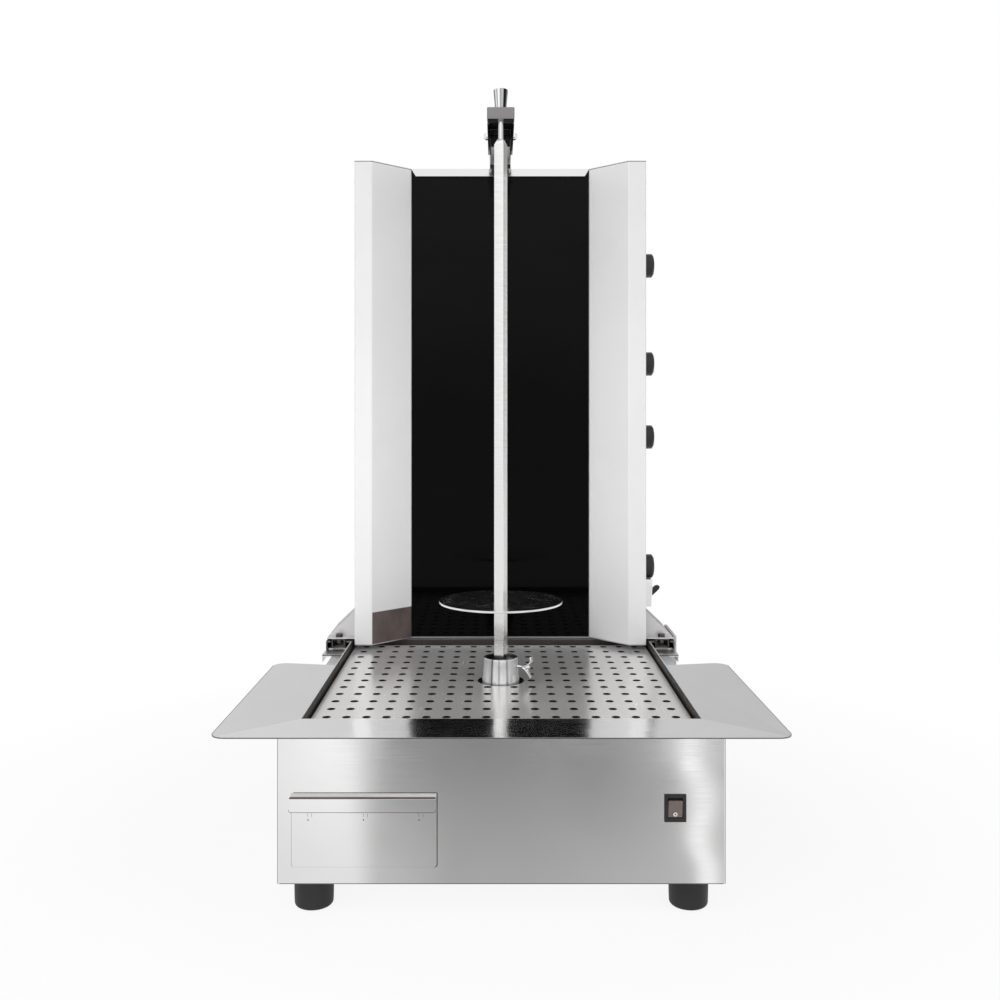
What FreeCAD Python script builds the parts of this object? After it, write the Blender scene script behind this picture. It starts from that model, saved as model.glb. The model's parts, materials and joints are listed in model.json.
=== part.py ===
"""Electric skewer grill: a turning upright spit in front of a sliding heater housing,
over a perforated deck, a drip tray and a base with a grease drawer.

Millimetres.  X runs to the grill's right as the cook sees it, Y to the back, Z up.
The origin is on the floor under the middle of the whole grill.
"""
import FreeCAD, Part
import os
import re
import Sketcher
from FreeCAD import Placement, Rotation, Vector

doc = FreeCAD.newDocument("skewer_grill")

# --- Driving sizes -----------------------------------------------------------------------

SIZES = {
    # the whole grill, measured from the spit's axis and from the floor
    "front_reach": 334,      # spit axis to the tray's front edge
    "rear_reach": 370,       # spit axis to the back of the heater housing
    "foot_tall": 43.5,
    "deck_rise": 186.5,      # underside of the base to the top of the perforated plate
    "steel": 1.5,            # sheet of the base, tray and housing
    "gap": 0.3,              # clearance between pieces that move past each other
    "fit": 0.05,             # radial clearance of a shaft in its bore
    # base
    "base_margin": 26.5,     # base's side beyond the tray's well
    "front_margin": 11.3,    # base's front before the tray's well
    "base_short": 20,        # base's back before the housing's back
    "base_return": 20,       # folded edge that carries the floor
    "base_bend": 2,
    "foot_wide": 50,
    "foot_inset": 45,        # foot centre behind the base's front face
    "foot_side": 38,         # foot centre in from the base's side
    "foot_edge": 4,          # chamfer round its lower end
    "foot_taper": 1.2,
    "foot_bolt": 8,
    "foot_nut": 6,
    "louvre_long": 90,
    "louvre_wide": 6,
    "louvre_pitch": 16,
    # tray
    "tray_half": 247,        # half the inner width of the well
    "flange_deep": 91.3,     # tray's front edge to the well
    "tray_tail": 22.3,       # well behind the plate
    "tray_deep": 30,         # deck down to the tray's floor
    "rim_rise": 13,
    "rear_rim_rise": 5,
    "wing_wide": 91,
    "wing_rise": 4,
    "wing_back": 40,
    "wing_round": 8,
    "wing_tail_round": 22,
    "collar_bore": 24,
    "collar_tall": 16,
    "spout_bore": 27,
    "spout_long": 34,
    "spout_front": 100,      # spout in front of the spit axis
    # perforated plate
    "plate_gap": 3.5,        # play all round in the well
    "hole_wide": 9.5,
    "hole_first": 19,        # first column of holes beside the middle
    "hole_edge": 18.9,       # last column in from the plate's edge
    "hole_columns": 9,       # on each side of the middle
    "row_edge": 11.2,        # first and last row in from the plate's edge
    "hole_rows": 13,
    "plate_centre_hole": 66,
    # grease drawer
    "drawer_side": 18,       # front's edge in from the base's side
    "drawer_clear": 13.2,     # front's other edge beside the motor bracket
    "drawer_low": 65,
    "drawer_tall": 90,
    "drawer_round": 3.5,
    "pull_deep": 19,
    "pull_drop": 16.5,
    "pan_inset": 9,          # pan's side in from the front's edge
    "pan_long": 304,
    "pan_tall": 68,
    "pan_lift": 7,           # pan's floor above the front's lower edge
    "pan_play": 1,
    "runner_foot": 14,
    "runner_ledge": 12,
    "runner_guide": 20,
    # power rocker
    "rocker_side": 62,       # in from the base's side
    "rocker_z": 136.8,
    "bezel_wide": 27,
    "bezel_tall": 34,
    "bezel_proud": 2,
    "rocker_wide": 17.5,
    "rocker_tall": 23.5,
    "rocker_pivot": 1.5,     # pin behind the base's front face
    "rocker_dip": 3.4,       # bottom of the V in front of the pin
    "rocker_rest": 31,       # slope of the raised half, in degrees
    "rocker_throw": 20,
    "rocker_pin": 2.4,
    "rocker_pin_reach": 1.1, # pin's end beyond the rocker's side
    # drive
    "motor_round": 64,
    "motor_cap": 6,
    "motor_room": 15.5,      # motor's cap above the base's floor
    "gearbox_wide": 84,
    "gearbox_deep": 74,
    "gearbox_tall": 38,
    "gearbox_round": 8,
    "bearing_gap": 9,        # bearing below the tray
    "bracket_half": 52,
    "bracket_foot": 14,
    "bracket_deep": 76,
    "bracket_sheet": 3,
    "bearing_flange": 64,
    "bearing_sheet": 6,
    "bearing_boss": 36,
    "bearing_tall": 20,
    "shaft_wide": 16,
    # spit
    "spit_turn": -23,        # the bar's flats are turned this far, in degrees
    "socket_wide": 55,
    "socket_mouth": 50.7,
    "socket_rise": 35,
    "socket_drop": 25,       # skirt below the deck
    "socket_wall": 3.3,
    "cup_deep": 8,
    "skirt_bore": 40,
    "skirt_deep": 13,
    "bar_wide": 15,
    "bar_drop": 19,          # bar's tip below the housing's top
    "bar_tip_wide": 8,
    "bar_tip_tall": 8,
    "bar_foot": 7,           # lower end of the bar above the deck
    "disc_wide": 180,
    "disc_sheet": 3,
    "disc_rise": 116,
    "stop_pin": 4,
    "screw_rise": 23.5,
    "screw_thread": 5,
    "screw_stem": 4,
    "screw_reach": 46,
    "wing_tip": 16,
    "wing_sheet": 2.4,
    "wing_deep": 7,
    # heater housing
    "housing_inset": 5.6,     # housing's side in from the well's side
    "housing_low": 8,        # above the deck
    "housing_top": 811,      # above the deck
    "strip_back": 202,       # front strips behind the spit axis
    "strip_wide": 29,
    "shield_wide": 60.4,
    "shield_deep": 60,
    "shield_return": 14,
    "lip_tall": 13,
    "lip_slant": 7,
    "glass_back": 4,         # glass behind the lip's front
    "glass_sheet": 4,
    "retainer_wide": 18,
    "retainer_deep": 20,
    "heaters": 4,
    "heater_play": 3,        # beside the glass retainers
    "heater_gap": 14,        # between one heater and the next
    "heater_deep": 24,
    "heater_wall": 6,
    "heater_recess": 16,
    "heater_low": 14,        # lowest heater above the housing's floor
    "heater_head": 24,       # highest heater below the housing's top
    "heater_back": 10,       # heaters behind the glass
    "ribbon_sheet": 1.5,
    "ribbon_deep": 12,
    "ribbon_edge": 14,       # ribbon in from the recess's top and bottom
    "ribbon_end": 8,         # and from its sides
    "ribbon_legs": 8,
    "board_inset": 13,
    "board_sheet": 18,
    "rear_flange": 18,
    # side controls, with heights above the deck
    "control_back": 75,      # behind the housing's front strips
    "knob_wide": 41,
    "knob_proud": 24,
    "knob_skirt": 3,
    "knob_taper": 0.5,
    "knob_round": 2.5,
    "knob_shaft": 6,
    "knob_stem": 13,         # shaft's end inside the housing's side
    "knob_1_rise": 128.7,
    "knob_2_rise": 351.4,
    "knob_3_rise": 477.4,
    "knob_4_rise": 646.6,
    "regulator_wide": 46,
    "regulator_deep": 40,
    "switch_low": 61.5,
    "switch_tall": 46.5,
    "switch_wide": 32,
    "switch_proud": 19.5,
    "lever_rise": 82,
    "lever_wide": 9,
    "lever_hub": 9,
    "lever_reach": 14,
    # slides
    "rail_wide": 41,
    "rail_tall": 16,
    "rail_sheet": 2,
    "rail_lip": 7,
    "rail_play": 3,          # rail's walls before the gusset
    "rail_apron": 38,        # rail's floor before its walls
    "shelf_drop": 4,         # shelf's top below the deck
    "shelf_lip": 10,
    "slide_travel": 80,
    "carriage_wide": 23,
    "carriage_foot": 5,
    "glide_sheet": 1,
    "gusset_inset": 5,       # in from the base's back
    "gusset_long": 126,
    "gusset_sheet": 2,
    "gusset_ledge": 18,      # plate before its front web
    "gusset_rise": 15,       # its plate above the deck
    "gusset_tall": 46,
    "clamp_bolt": 6,
    # cable guard and inlet
    "guard_proud": 6.5,      # beyond the rail
    "guard_rise": 21.5,      # above the shelf
    "guard_tall": 107.5,
    "guard_round": 3,
    "guard_inset": 20,       # in from the base's back
    "guard_long": 92,
    "gland_side": 75,        # in from the base's side
    "gland_z": 90,
    "gland_bore": 10,
    "gland_wall": 3,
    "gland_wide": 6,         # outer nut, along the lead
    "gland_dome": 8,
    "gland_lock": 4,         # lock nut inside the base
    "gland_nut": 22,
    "gland_long": 26,
    # top arm
    "arm_wide": 40,
    "arm_tall": 18,
    "arm_sheet": 2,
    "arm_round": 1.5,
    "arm_block": 24,
    "arm_front_end": 200,
    "arm_rear_start": 95,
    "arm_rear_inset": 4,     # in from the housing's back
    "cross_bolt_back": 108,
    "cross_bolt_rise": 6,    # above the arm's lower edge
    "cross_bolt": 6,
    "cross_head": 11.2,
    "cross_head_tall": 6,
    "pad_wide": 8,
    "pad_tall": 8,
    "pad_inset": 10,         # in from the housing's back
    "pad_long": 94,
    "pin_wide": 7.2,
    "pin_depth": 12,         # pin inside the bar's tip
    "cone_low": 16.6,
    "cone_wide": 21.2,
    "cone_tall": 28,
    "cone_edge": 1,
    # fasteners
    "screw_head": 8,
    "screw_head_tall": 2.5,
    "screw_shank": 4,
    "screw_front": 20,       # housing's side screws in from its edges
    "screw_rear": 9,
    "screw_low": 60,
    "screw_high": 34,
}

# --- Places worked out from the sizes ----------------------------------------------------

PLACES = {
    "spit_y": "(front_reach - rear_reach) / 2",
    "deck_top": "foot_tall + deck_rise",
    "tray_edge": "spit_y - front_reach",
    "well_front": "tray_edge + flange_deep",
    "well_deep": "front_reach - flange_deep",
    "front_face": "well_front - front_margin",
    "house_back": "spit_y + rear_reach",
    "back_face": "house_back - base_short",
    "base_half": "tray_outer + base_margin",
    "floor_top": "foot_tall + 2 * steel",
    "rim_top": "deck_top + rim_rise",
    "wing_top": "rim_top + wing_rise",
    "base_top": "rim_top - steel",
    "tray_floor": "deck_top - tray_deep",
    "tray_outer": "tray_half + steel",
    "wing_edge": "tray_half + wing_wide",
    "well_back": "spit_y + well_deep + tray_tail",
    "wing_tail": "spit_y + wing_back",
    "shelf_top": "deck_top - shelf_drop",
    "spout_y": "spit_y - spout_front",
    "plate_half": "tray_half - plate_gap",
    "plate_front": "well_front + plate_gap",
    "plate_back": "spit_y + well_deep - plate_gap",
    "hole_pitch": "(plate_half - hole_edge - hole_first) / (hole_columns - 1)",
    "row_pitch": "(plate_back - plate_front - 2 * row_edge) / (hole_rows - 1)",
    "drawer_west": "drawer_side - base_half",
    "drawer_east": "-1 * (bracket_half + bracket_foot + drawer_clear)",
    "drawer_x": "(drawer_west + drawer_east) / 2",
    "pan_wide": "drawer_east - drawer_west - 2 * pan_inset",
    "pan_floor": "drawer_low + pan_lift",
    "pan_top": "pan_floor + pan_tall",
    "pan_front": "front_face - gap",
    "drawer_face": "front_face - gap - steel",
    "rocker_x": "base_half - rocker_side",
    "gland_x": "base_half - gland_side",
    "bracket_top": "tray_floor - bearing_gap - bearing_tall - bracket_sheet",
    "bracket_upper": "bracket_top + bracket_sheet",
    "gearbox_low": "bracket_top - gearbox_tall",
    "motor_long": "gearbox_low - motor_cap - motor_room - floor_top",
    "shaft_low": "bracket_top - 18",
    "shaft_top": "deck_top + 5",
    "bore_r": "shaft_wide / 2 + fit",
    "socket_low": "deck_top - socket_drop",
    "socket_high": "deck_top + socket_rise",
    "cup_floor": "socket_high - cup_deep",
    "bar_low": "deck_top + bar_foot",
    "bar_top": "house_top - bar_drop",
    "disc_low": "deck_top + disc_rise - disc_sheet / 2",
    "screw_z": "deck_top + screw_rise",
    "housing_half": "tray_half - housing_inset",
    "house_low": "deck_top + housing_low",
    "house_top": "deck_top + housing_top",
    "panel_low": "house_low + steel",
    "panel_top": "house_top - steel",
    "strip_y": "spit_y + strip_back",
    "trough_y": "strip_y + shield_deep",
    "strip_x": "housing_half - strip_wide",
    "trough_x": "strip_x - shield_wide",
    "slope": "atan(shield_deep / shield_wide)",
    "glass_y": "trough_y + glass_back",
    "glass_rear": "glass_y + glass_sheet",
    "heater_wide": "2 * (trough_x - retainer_wide - heater_play)",
    "heater_pitch": "(panel_top - panel_low - heater_low - heater_head + heater_gap) / heaters",
    "heater_tall": "heater_pitch - heater_gap",
    "ribbon_pitch": "(heater_tall - 2 * (heater_wall + ribbon_edge)) / (ribbon_legs - 1)",
    "heater_y": "glass_rear + heater_back",
    "board_y": "heater_y + heater_deep",
    "board_half": "trough_x - board_inset",
    "control_y": "strip_y + control_back",
    "lever_z": "deck_top + lever_rise",
    "switch_face": "housing_half + switch_proud",
    "rail_in": "tray_outer + steel",
    "rail_out": "rail_in + rail_wide",
    "rail_mid": "rail_in + rail_wide / 2",
    "rail_floor": "shelf_top + rail_sheet",
    "rail_top": "shelf_top + rail_tall",
    "gusset_y": "back_face - gusset_inset - gusset_long",
    "web_y": "gusset_y + gusset_ledge",
    "rail_y": "gusset_y - rail_play",
    "apron_y": "rail_y - rail_apron",
    "gusset_z": "deck_top + gusset_rise",
    "carriage_low": "rail_floor + glide_sheet",
    "guard_y": "back_face - guard_inset - guard_long",
    "guard_top": "shelf_top + guard_rise",
    "guard_low": "guard_top - guard_tall",
    "guard_out": "rail_out + guard_proud",
    "arm_z": "house_top + pad_tall",
    "arm_top": "arm_z + arm_tall",
    "arm_half": "arm_wide / 2",
    "inner_half": "arm_half - arm_sheet - gap",
    "inner_top": "arm_top - arm_sheet - gap",
    "cross_y": "spit_y + cross_bolt_back",
    "cross_z": "arm_z + cross_bolt_rise",
}

dims = doc.addObject("Spreadsheet::Sheet", "dims")
for row, (word, number) in enumerate(SIZES.items(), start=1):
    dims.set(f"A{row}", str(number))
    dims.setAlias(f"A{row}", word)
doc.recompute()


def formula(text):
    """Write out each place, and put the sheet's name before each size."""
    def spell(match):
        word = match.group(0)
        if word in PLACES:
            return "(" + formula(PLACES[word]) + ")"
        return f"dims.{word}" if word in SIZES else word
    return re.sub(r"[a-z_][a-z_0-9]*", spell, str(text))


def value(text):
    """The number that a formula gives now."""
    answer = dims.evalExpression(formula(text))
    return float(getattr(answer, "Value", answer))


def bind(thing, **properties):
    """Bind properties to formulas; a double underscore stands for a dot."""
    for name, text in properties.items():
        thing.setExpression(name.replace("__", "."), formula(text))


# --- Ways to make a solid ----------------------------------------------------------------

AXES = {
    "x": Rotation(Vector(0, 1, 0), 90),
    "y": Rotation(Vector(1, 0, 0), -90),
    "z": Rotation(),
    "-x": Rotation(Vector(0, 1, 0), -90),
    "-y": Rotation(Vector(1, 0, 0), 90),
    "-z": Rotation(Vector(1, 0, 0), 180),
}


def put(thing, at, along="z"):
    """Place a solid: its own Z runs along the named axis."""
    thing.Placement = Placement(Vector(), AXES[along])
    bind(thing, Placement__Base__x=at[0], Placement__Base__y=at[1], Placement__Base__z=at[2])
    return thing


def block(size, at):
    box = doc.addObject("Part::Box", "block")
    bind(box, Length=size[0], Width=size[1], Height=size[2])
    return put(box, at)


def rod(radius, length, at, along="z"):
    bar = doc.addObject("Part::Cylinder", "rod")
    bind(bar, Radius=radius, Height=length)
    return put(bar, at, along)


def cone(low_radius, high_radius, length, at, along="z"):
    taper = doc.addObject("Part::Cone", "cone")
    bind(taper, Radius1=low_radius, Radius2=high_radius, Height=length)
    return put(taper, at, along)


def hexagon(across_flats, length, at, along="z"):
    nut = doc.addObject("Part::Prism", "hexagon")
    nut.Polygon = 6
    bind(nut, Circumradius=f"({across_flats}) / 2 / cos(30)", Height=length)
    return put(nut, at, along)


def cut(base, *tools):
    tool = tools[0] if len(tools) == 1 else join(*tools)
    less = doc.addObject("Part::Cut", "cut")
    less.Base = base
    less.Tool = tool
    return less


def join(*solids):
    whole = doc.addObject("Part::MultiFuse", "join")
    whole.Shapes = list(solids)
    whole.Refine = True
    return whole


def together(*solids):
    """Separate solids that share one node, such as a set of equal fasteners."""
    group = doc.addObject("Part::Compound", "set")
    group.Links = list(solids)
    return group


def rounded(solid, radius, test):
    """A Part fillet on the edges that pass the test."""
    doc.recompute()
    size = value(radius)
    edges = [(i, size, size) for i, edge in enumerate(solid.Shape.Edges, start=1) if test(edge)]
    fillet = doc.addObject("Part::Fillet", "rounded")
    fillet.Base = solid
    fillet.Edges = edges
    return fillet


def body_for(name):
    return doc.addObject("PartDesign::Body", name)


def plane(body, role):
    return next(item for item in body.Origin.OriginFeatures if item.Role == role)


PLANES = {"xy": "XY_Plane", "xz": "XZ_Plane", "yz": "YZ_Plane"}


def sketch(body, facing, loops, circles=(), level="0"):
    """Closed outlines, each corner held at its own formulas, on one of the body's planes."""
    drawing = body.newObject("Sketcher::SketchObject", "outline")
    drawing.AttachmentSupport = [(plane(body, PLANES[facing]), "")]
    drawing.MapMode = "FlatFace"
    sign = "-1 * " if facing == "xz" else ""
    bind(drawing, AttachmentOffset__Base__z=f"{sign}({level})")
    bound = []
    for loop in loops:
        spots = [Vector(value(a), value(b), 0) for a, b in loop]
        first = drawing.GeometryCount
        lines = [Part.LineSegment(p, q) for p, q in zip(spots, spots[1:] + spots[:1])]
        drawing.addGeometry(lines, False)
        joints = []
        for i, (a, b) in enumerate(loop):
            here = first + i
            after = first + (i + 1) % len(loop)
            joints.append(Sketcher.Constraint("Coincident", here, 2, after, 1))
            bound.append(("DistanceX", here, 1, a))
            bound.append(("DistanceY", here, 1, b))
        drawing.addConstraint(joints)
    for a, b, radius in circles:
        spot = Vector(value(a), value(b), 0)
        here = drawing.addGeometry(Part.Circle(spot, Vector(0, 0, 1), value(radius)), False)
        bound.append(("DistanceX", here, 3, a))
        bound.append(("DistanceY", here, 3, b))
        bound.append(("Radius", here, None, radius))
    for kind, here, point, text in bound:
        if kind == "Radius":
            rule = Sketcher.Constraint(kind, here, value(text))
        else:
            rule = Sketcher.Constraint(kind, here, point, value(text))
        number = drawing.addConstraint(rule)
        drawing.setExpression(f"Constraints[{number}]", formula(text))
    return drawing


def pad(body, facing, loops, start, length, circles=()):
    """Add the outline's solid, from start along the plane's positive axis."""
    drawing = sketch(body, facing, loops, circles, start)
    feature = body.newObject("PartDesign::Pad", "pad")
    feature.Profile = drawing
    feature.Reversed = facing == "xz"
    bind(feature, Length=length)
    return feature


def pocket(body, facing, loops, start, length, circles=()):
    """Take the outline's solid away, from start along the plane's positive axis."""
    drawing = sketch(body, facing, loops, circles, start)
    feature = body.newObject("PartDesign::Pocket", "pocket")
    feature.Profile = drawing
    feature.Reversed = facing != "xz"
    bind(feature, Length=length)
    return feature


def prism(name, facing, loops, start, length, circles=()):
    body = body_for(name)
    pad(body, facing, loops, start, length, circles)
    return body


def turned(name, profile, at, along="z"):
    """A solid of revolution: the profile's points are (radius, height)."""
    body = body_for(name)
    drawing = sketch(body, "xz", [profile])
    feature = body.newObject("PartDesign::Revolution", "turned")
    feature.Profile = drawing
    feature.ReferenceAxis = (drawing, ["V_Axis"])
    feature.Angle = 360
    return put(body, at, along)


def soften(body, radius, test, kind="Fillet"):
    """Round, or chamfer, the edges of the body's last feature that pass the test."""
    doc.recompute()
    last = body.Tip
    names = [f"Edge{i}" for i, edge in enumerate(last.Shape.Edges, start=1) if test(edge)]
    feature = body.newObject(f"PartDesign::{kind}", kind.lower())
    feature.Base = (last, names)
    if kind == "Fillet":
        bind(feature, Radius=radius)
    else:
        bind(feature, Size=radius)
    return feature


def rectangle(low_a, low_b, high_a, high_b):
    return [(low_a, low_b), (high_a, low_b), (high_a, high_b), (low_a, high_b)]


def repeat(body, feature, role, pitch, count):
    """Repeat one feature in a line along one of the body's axes."""
    pattern = body.newObject("PartDesign::LinearPattern", "row")
    pattern.Originals = [feature]
    pattern.Direction = (plane(body, role), [""])
    bind(pattern, Length=f"({pitch}) * (({count}) - 1)", Occurrences=count)
    body.Tip = pattern
    return pattern


def runs_along(edge, axis, tolerance=0.001):
    """True for a straight edge that runs along X, Y or Z."""
    if len(edge.Vertexes) < 2 or edge.Curve.TypeId != "Part::GeomLine":
        return False
    spread = edge.Vertexes[1].Point - edge.Vertexes[0].Point
    other = [spread.x, spread.y, spread.z]
    del other["xyz".index(axis)]
    return max(abs(n) for n in other) < tolerance


def near(number, text, tolerance=0.05):
    return abs(number - value(text)) < tolerance


NODES = {}


def keep(label, solid):
    """Name a finished sub-part and list it for writing."""
    solid.Label = label
    NODES[label] = solid
    return solid


# --- Base --------------------------------------------------------------------------------

def make_base_shell():
    """Front and both sides, folded from one sheet, with a folded edge all round below."""
    body = body_for("base_shell")
    wrap = [
        ("-base_half", "front_face"), ("base_half", "front_face"), ("base_half", "back_face"),
        ("base_half - steel", "back_face"), ("base_half - steel", "front_face + steel"),
        ("steel - base_half", "front_face + steel"), ("steel - base_half", "back_face"),
        ("-base_half", "back_face"),
    ]
    pad(body, "xy", [wrap], "foot_tall", "base_top - foot_tall")
    hem = [
        ("steel - base_half", "front_face + steel"), ("base_half - steel", "front_face + steel"),
        ("base_half - steel", "back_face"), ("base_half - base_return", "back_face"),
        ("base_half - base_return", "front_face + base_return"),
        ("base_return - base_half", "front_face + base_return"),
        ("base_return - base_half", "back_face"), ("steel - base_half", "back_face"),
    ]
    pad(body, "xy", [hem], "foot_tall", "steel")
    soften(body, "base_bend", lambda e: runs_along(e, "z") and e.Length > value("steel") * 2
           and near(e.CenterOfMass.y, "front_face")
           and near(abs(e.CenterOfMass.x), "base_half"))
    step = rectangle("wing_tail", "shelf_top - steel", "back_face + steel", "base_top + steel")
    pocket(body, "yz", [step], "-2 * base_half", "4 * base_half")
    mouth = rectangle("drawer_x - pan_wide / 2 - 2 * pan_play", "pan_floor - 2 * pan_play",
                      "drawer_x + pan_wide / 2 + 2 * pan_play", "pan_top + 2 * pan_play")
    rocker_hole = rectangle("rocker_x - rocker_wide / 2 - steel", "rocker_z - rocker_tall / 2 - steel",
                            "rocker_x + rocker_wide / 2 + steel", "rocker_z + rocker_tall / 2 + steel")
    pocket(body, "xz", [mouth, rocker_hole], "front_face - steel", "3 * steel")
    keep("base_shell", body)


def make_base_floor():
    """Floor plate on the folded edge, with rows of cooling slots."""
    body = body_for("base_floor")
    plan = rectangle("steel - base_half", "front_face + steel", "base_half - steel", "back_face - steel")
    feet = [(f"{side} * (base_half - foot_side)", y, "foot_bolt / 2 + gap")
            for side in (-1, 1) for y in ("front_face + foot_inset", "back_face - foot_inset")]
    pad(body, "xy", [plan], "foot_tall + steel", "steel", circles=feet)
    slot = rectangle("base_half / 3", "spit_y + louvre_pitch",
                     "base_half / 3 + louvre_long", "spit_y + louvre_pitch + louvre_wide")
    first = pocket(body, "xy", [slot], "foot_tall", "4 * steel")
    repeat(body, first, "Y_Axis", "louvre_pitch", "8")
    keep("base_floor", body)


def make_base_back():
    """Back panel with cooling slots and the hole for the mains lead's gland."""
    body = body_for("base_back")
    face = rectangle("steel - base_half", "foot_tall + steel", "base_half - steel", "shelf_top - steel")
    pad(body, "xz", [face], "back_face - steel", "steel",
        circles=[("gland_x", "gland_z", "gland_bore / 2 + gland_wall + fit")])
    slot = rectangle("-base_half / 2", "deck_top / 3",
                     "louvre_long - base_half / 2", "deck_top / 3 + louvre_wide")
    first = pocket(body, "xz", [slot], "back_face - 2 * steel", "3 * steel")
    repeat(body, first, "Z_Axis", "louvre_pitch", "7")
    keep("base_back", body)


def foot_places():
    for side in (-1, 1):
        for y in ("front_face + foot_inset", "back_face - foot_inset"):
            yield f"{side} * (base_half - foot_side)", y


def make_feet():
    profile = [
        ("0", "0"), ("foot_wide / 2 - foot_edge", "0"), ("foot_wide / 2 - foot_taper", "foot_edge"),
        ("foot_wide / 2", "foot_tall"), ("foot_bolt / 2 + gap", "foot_tall"),
        ("foot_bolt / 2 + gap", "foot_tall / 2"), ("0", "foot_tall / 2"),
    ]
    keep("feet", together(*[turned("foot", profile, (x, y, "0")) for x, y in foot_places()]))


def make_foot_bolts():
    bolts = []
    for x, y in foot_places():
        shank = rod("foot_bolt / 2", "floor_top + 1.5 * foot_nut - foot_tall / 2",
                    (x, y, "foot_tall / 2"))
        nut = hexagon("foot_bolt * 1.6", "foot_nut", (x, y, "floor_top"))
        bolts.append(join(shank, nut))
    keep("foot_bolts", together(*bolts))


def make_drip_tray():
    """One folded sheet: a well with a collar round the shaft, a sloping front flange and
    two sloping wings that meet it in mitres."""
    well = body_for("tray_well")
    outside = rectangle("-tray_outer", "well_front - steel", "tray_outer", "well_back + steel")
    inside = rectangle("-tray_half", "well_front", "tray_half", "well_back")
    pad(well, "xy", [outside], "tray_floor - steel", "rim_top - tray_floor + steel",
        circles=[("0", "spit_y", "collar_bore / 2"), ("drawer_x", "spout_y", "spout_bore / 2")])
    pocket(well, "xy", [inside], "tray_floor", "rim_top")
    rear_step = rectangle("-tray_outer", "deck_top + rear_rim_rise", "tray_outer", "rim_top + steel")
    pocket(well, "xz", [rear_step], "well_back - steel", "4 * steel")
    collar = cut(rod("collar_bore / 2 + steel", "collar_tall", ("0", "spit_y", "tray_floor")),
                 rod("collar_bore / 2", "2 * collar_tall", ("0", "spit_y", "tray_floor - steel")))

    front_slab = prism("front_slab", "yz", [[
        ("well_front", "rim_top"), ("well_front", "rim_top - steel"),
        ("tray_edge", "wing_top - steel"), ("tray_edge", "wing_top")]],
        "-wing_edge", "2 * wing_edge")
    front_plan = prism("front_plan", "xy", [[
        ("-tray_half", "well_front"), ("-wing_edge", "tray_edge"),
        ("wing_edge", "tray_edge"), ("tray_half", "well_front")]], "deck_top", "rim_rise * 3")
    pieces = [common(front_slab, front_plan)]
    for side in (-1, 1):
        slab = prism("wing_slab", "xz", [[
            (f"{side} * tray_half", "rim_top"), (f"{side} * tray_half", "rim_top - steel"),
            (f"{side} * wing_edge", "wing_top - steel"), (f"{side} * wing_edge", "wing_top")]],
            "tray_edge", "wing_tail - tray_edge")
        plan = prism("wing_plan", "xy", [[
            (f"{side} * tray_half", "well_front"), (f"{side} * wing_edge", "tray_edge"),
            (f"{side} * wing_edge", "wing_tail"), (f"{side} * tray_half", "wing_tail")]],
            "deck_top", "rim_rise * 3")
        pieces.append(common(slab, plan))
    flange = join(*pieces)

    trim = prism("trim", "xy", [rectangle("-wing_edge", "tray_edge", "wing_edge", "wing_tail")],
                 "deck_top", "rim_rise * 3")
    soften(trim, "wing_round", lambda e: runs_along(e, "z") and near(e.CenterOfMass.y, "tray_edge"))
    soften(trim, "wing_tail_round",
           lambda e: runs_along(e, "z") and near(e.CenterOfMass.y, "wing_tail"))
    keep("drip_tray", join(well, collar, common(flange, trim)))


def common(first, second):
    shared = doc.addObject("Part::MultiCommon", "common")
    shared.Shapes = [first, second]
    return shared


def make_drain_spout():
    low = "tray_floor - steel - spout_long"
    pipe = cut(rod("spout_bore / 2 + steel", "spout_long", ("drawer_x", "spout_y", low)),
               rod("spout_bore / 2", "2 * spout_long", ("drawer_x", "spout_y", f"{low} - steel")))
    keep("drain_spout", pipe)


def make_perforated_plate():
    """Deck plate with turned-down edges that stand on the tray's floor."""
    body = body_for("perforated_plate")
    outside = rectangle("-plate_half", "plate_front", "plate_half", "plate_back")
    inside = rectangle("steel - plate_half", "plate_front + steel",
                       "plate_half - steel", "plate_back - steel")
    pad(body, "xy", [outside], "tray_floor", "deck_top - tray_floor")
    pocket(body, "xy", [inside], "tray_floor - steel", "deck_top - tray_floor")
    pocket(body, "xy", [], "deck_top - 2 * steel", "3 * steel",
           circles=[("0", "spit_y", "plate_centre_hole / 2")])
    corners = [(f"hole_first + hole_wide / 2 * cos({60 * k})",
                f"spit_y - row_pitch * (hole_rows - 1) / 2 + hole_wide / 2 * sin({60 * k})")
               for k in range(6)]
    first = pocket(body, "xy", [corners], "deck_top - 2 * steel", "3 * steel")
    grid = body.newObject("PartDesign::MultiTransform", "grid")
    grid.Originals = [first]
    mirror = body.newObject("PartDesign::Mirrored", "other_side")
    mirror.MirrorPlane = (plane(body, "YZ_Plane"), [""])
    across = body.newObject("PartDesign::LinearPattern", "across")
    across.Direction = (plane(body, "X_Axis"), [""])
    bind(across, Length="hole_pitch * (hole_columns - 1)", Occurrences="hole_columns")
    along = body.newObject("PartDesign::LinearPattern", "along")
    along.Direction = (plane(body, "Y_Axis"), [""])
    bind(along, Length="row_pitch * (hole_rows - 1)", Occurrences="hole_rows")
    grid.Transformations = [across, mirror, along]
    body.Tip = grid
    keep("perforated_plate", body)


# --- Grease drawer -----------------------------------------------------------------------

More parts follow.
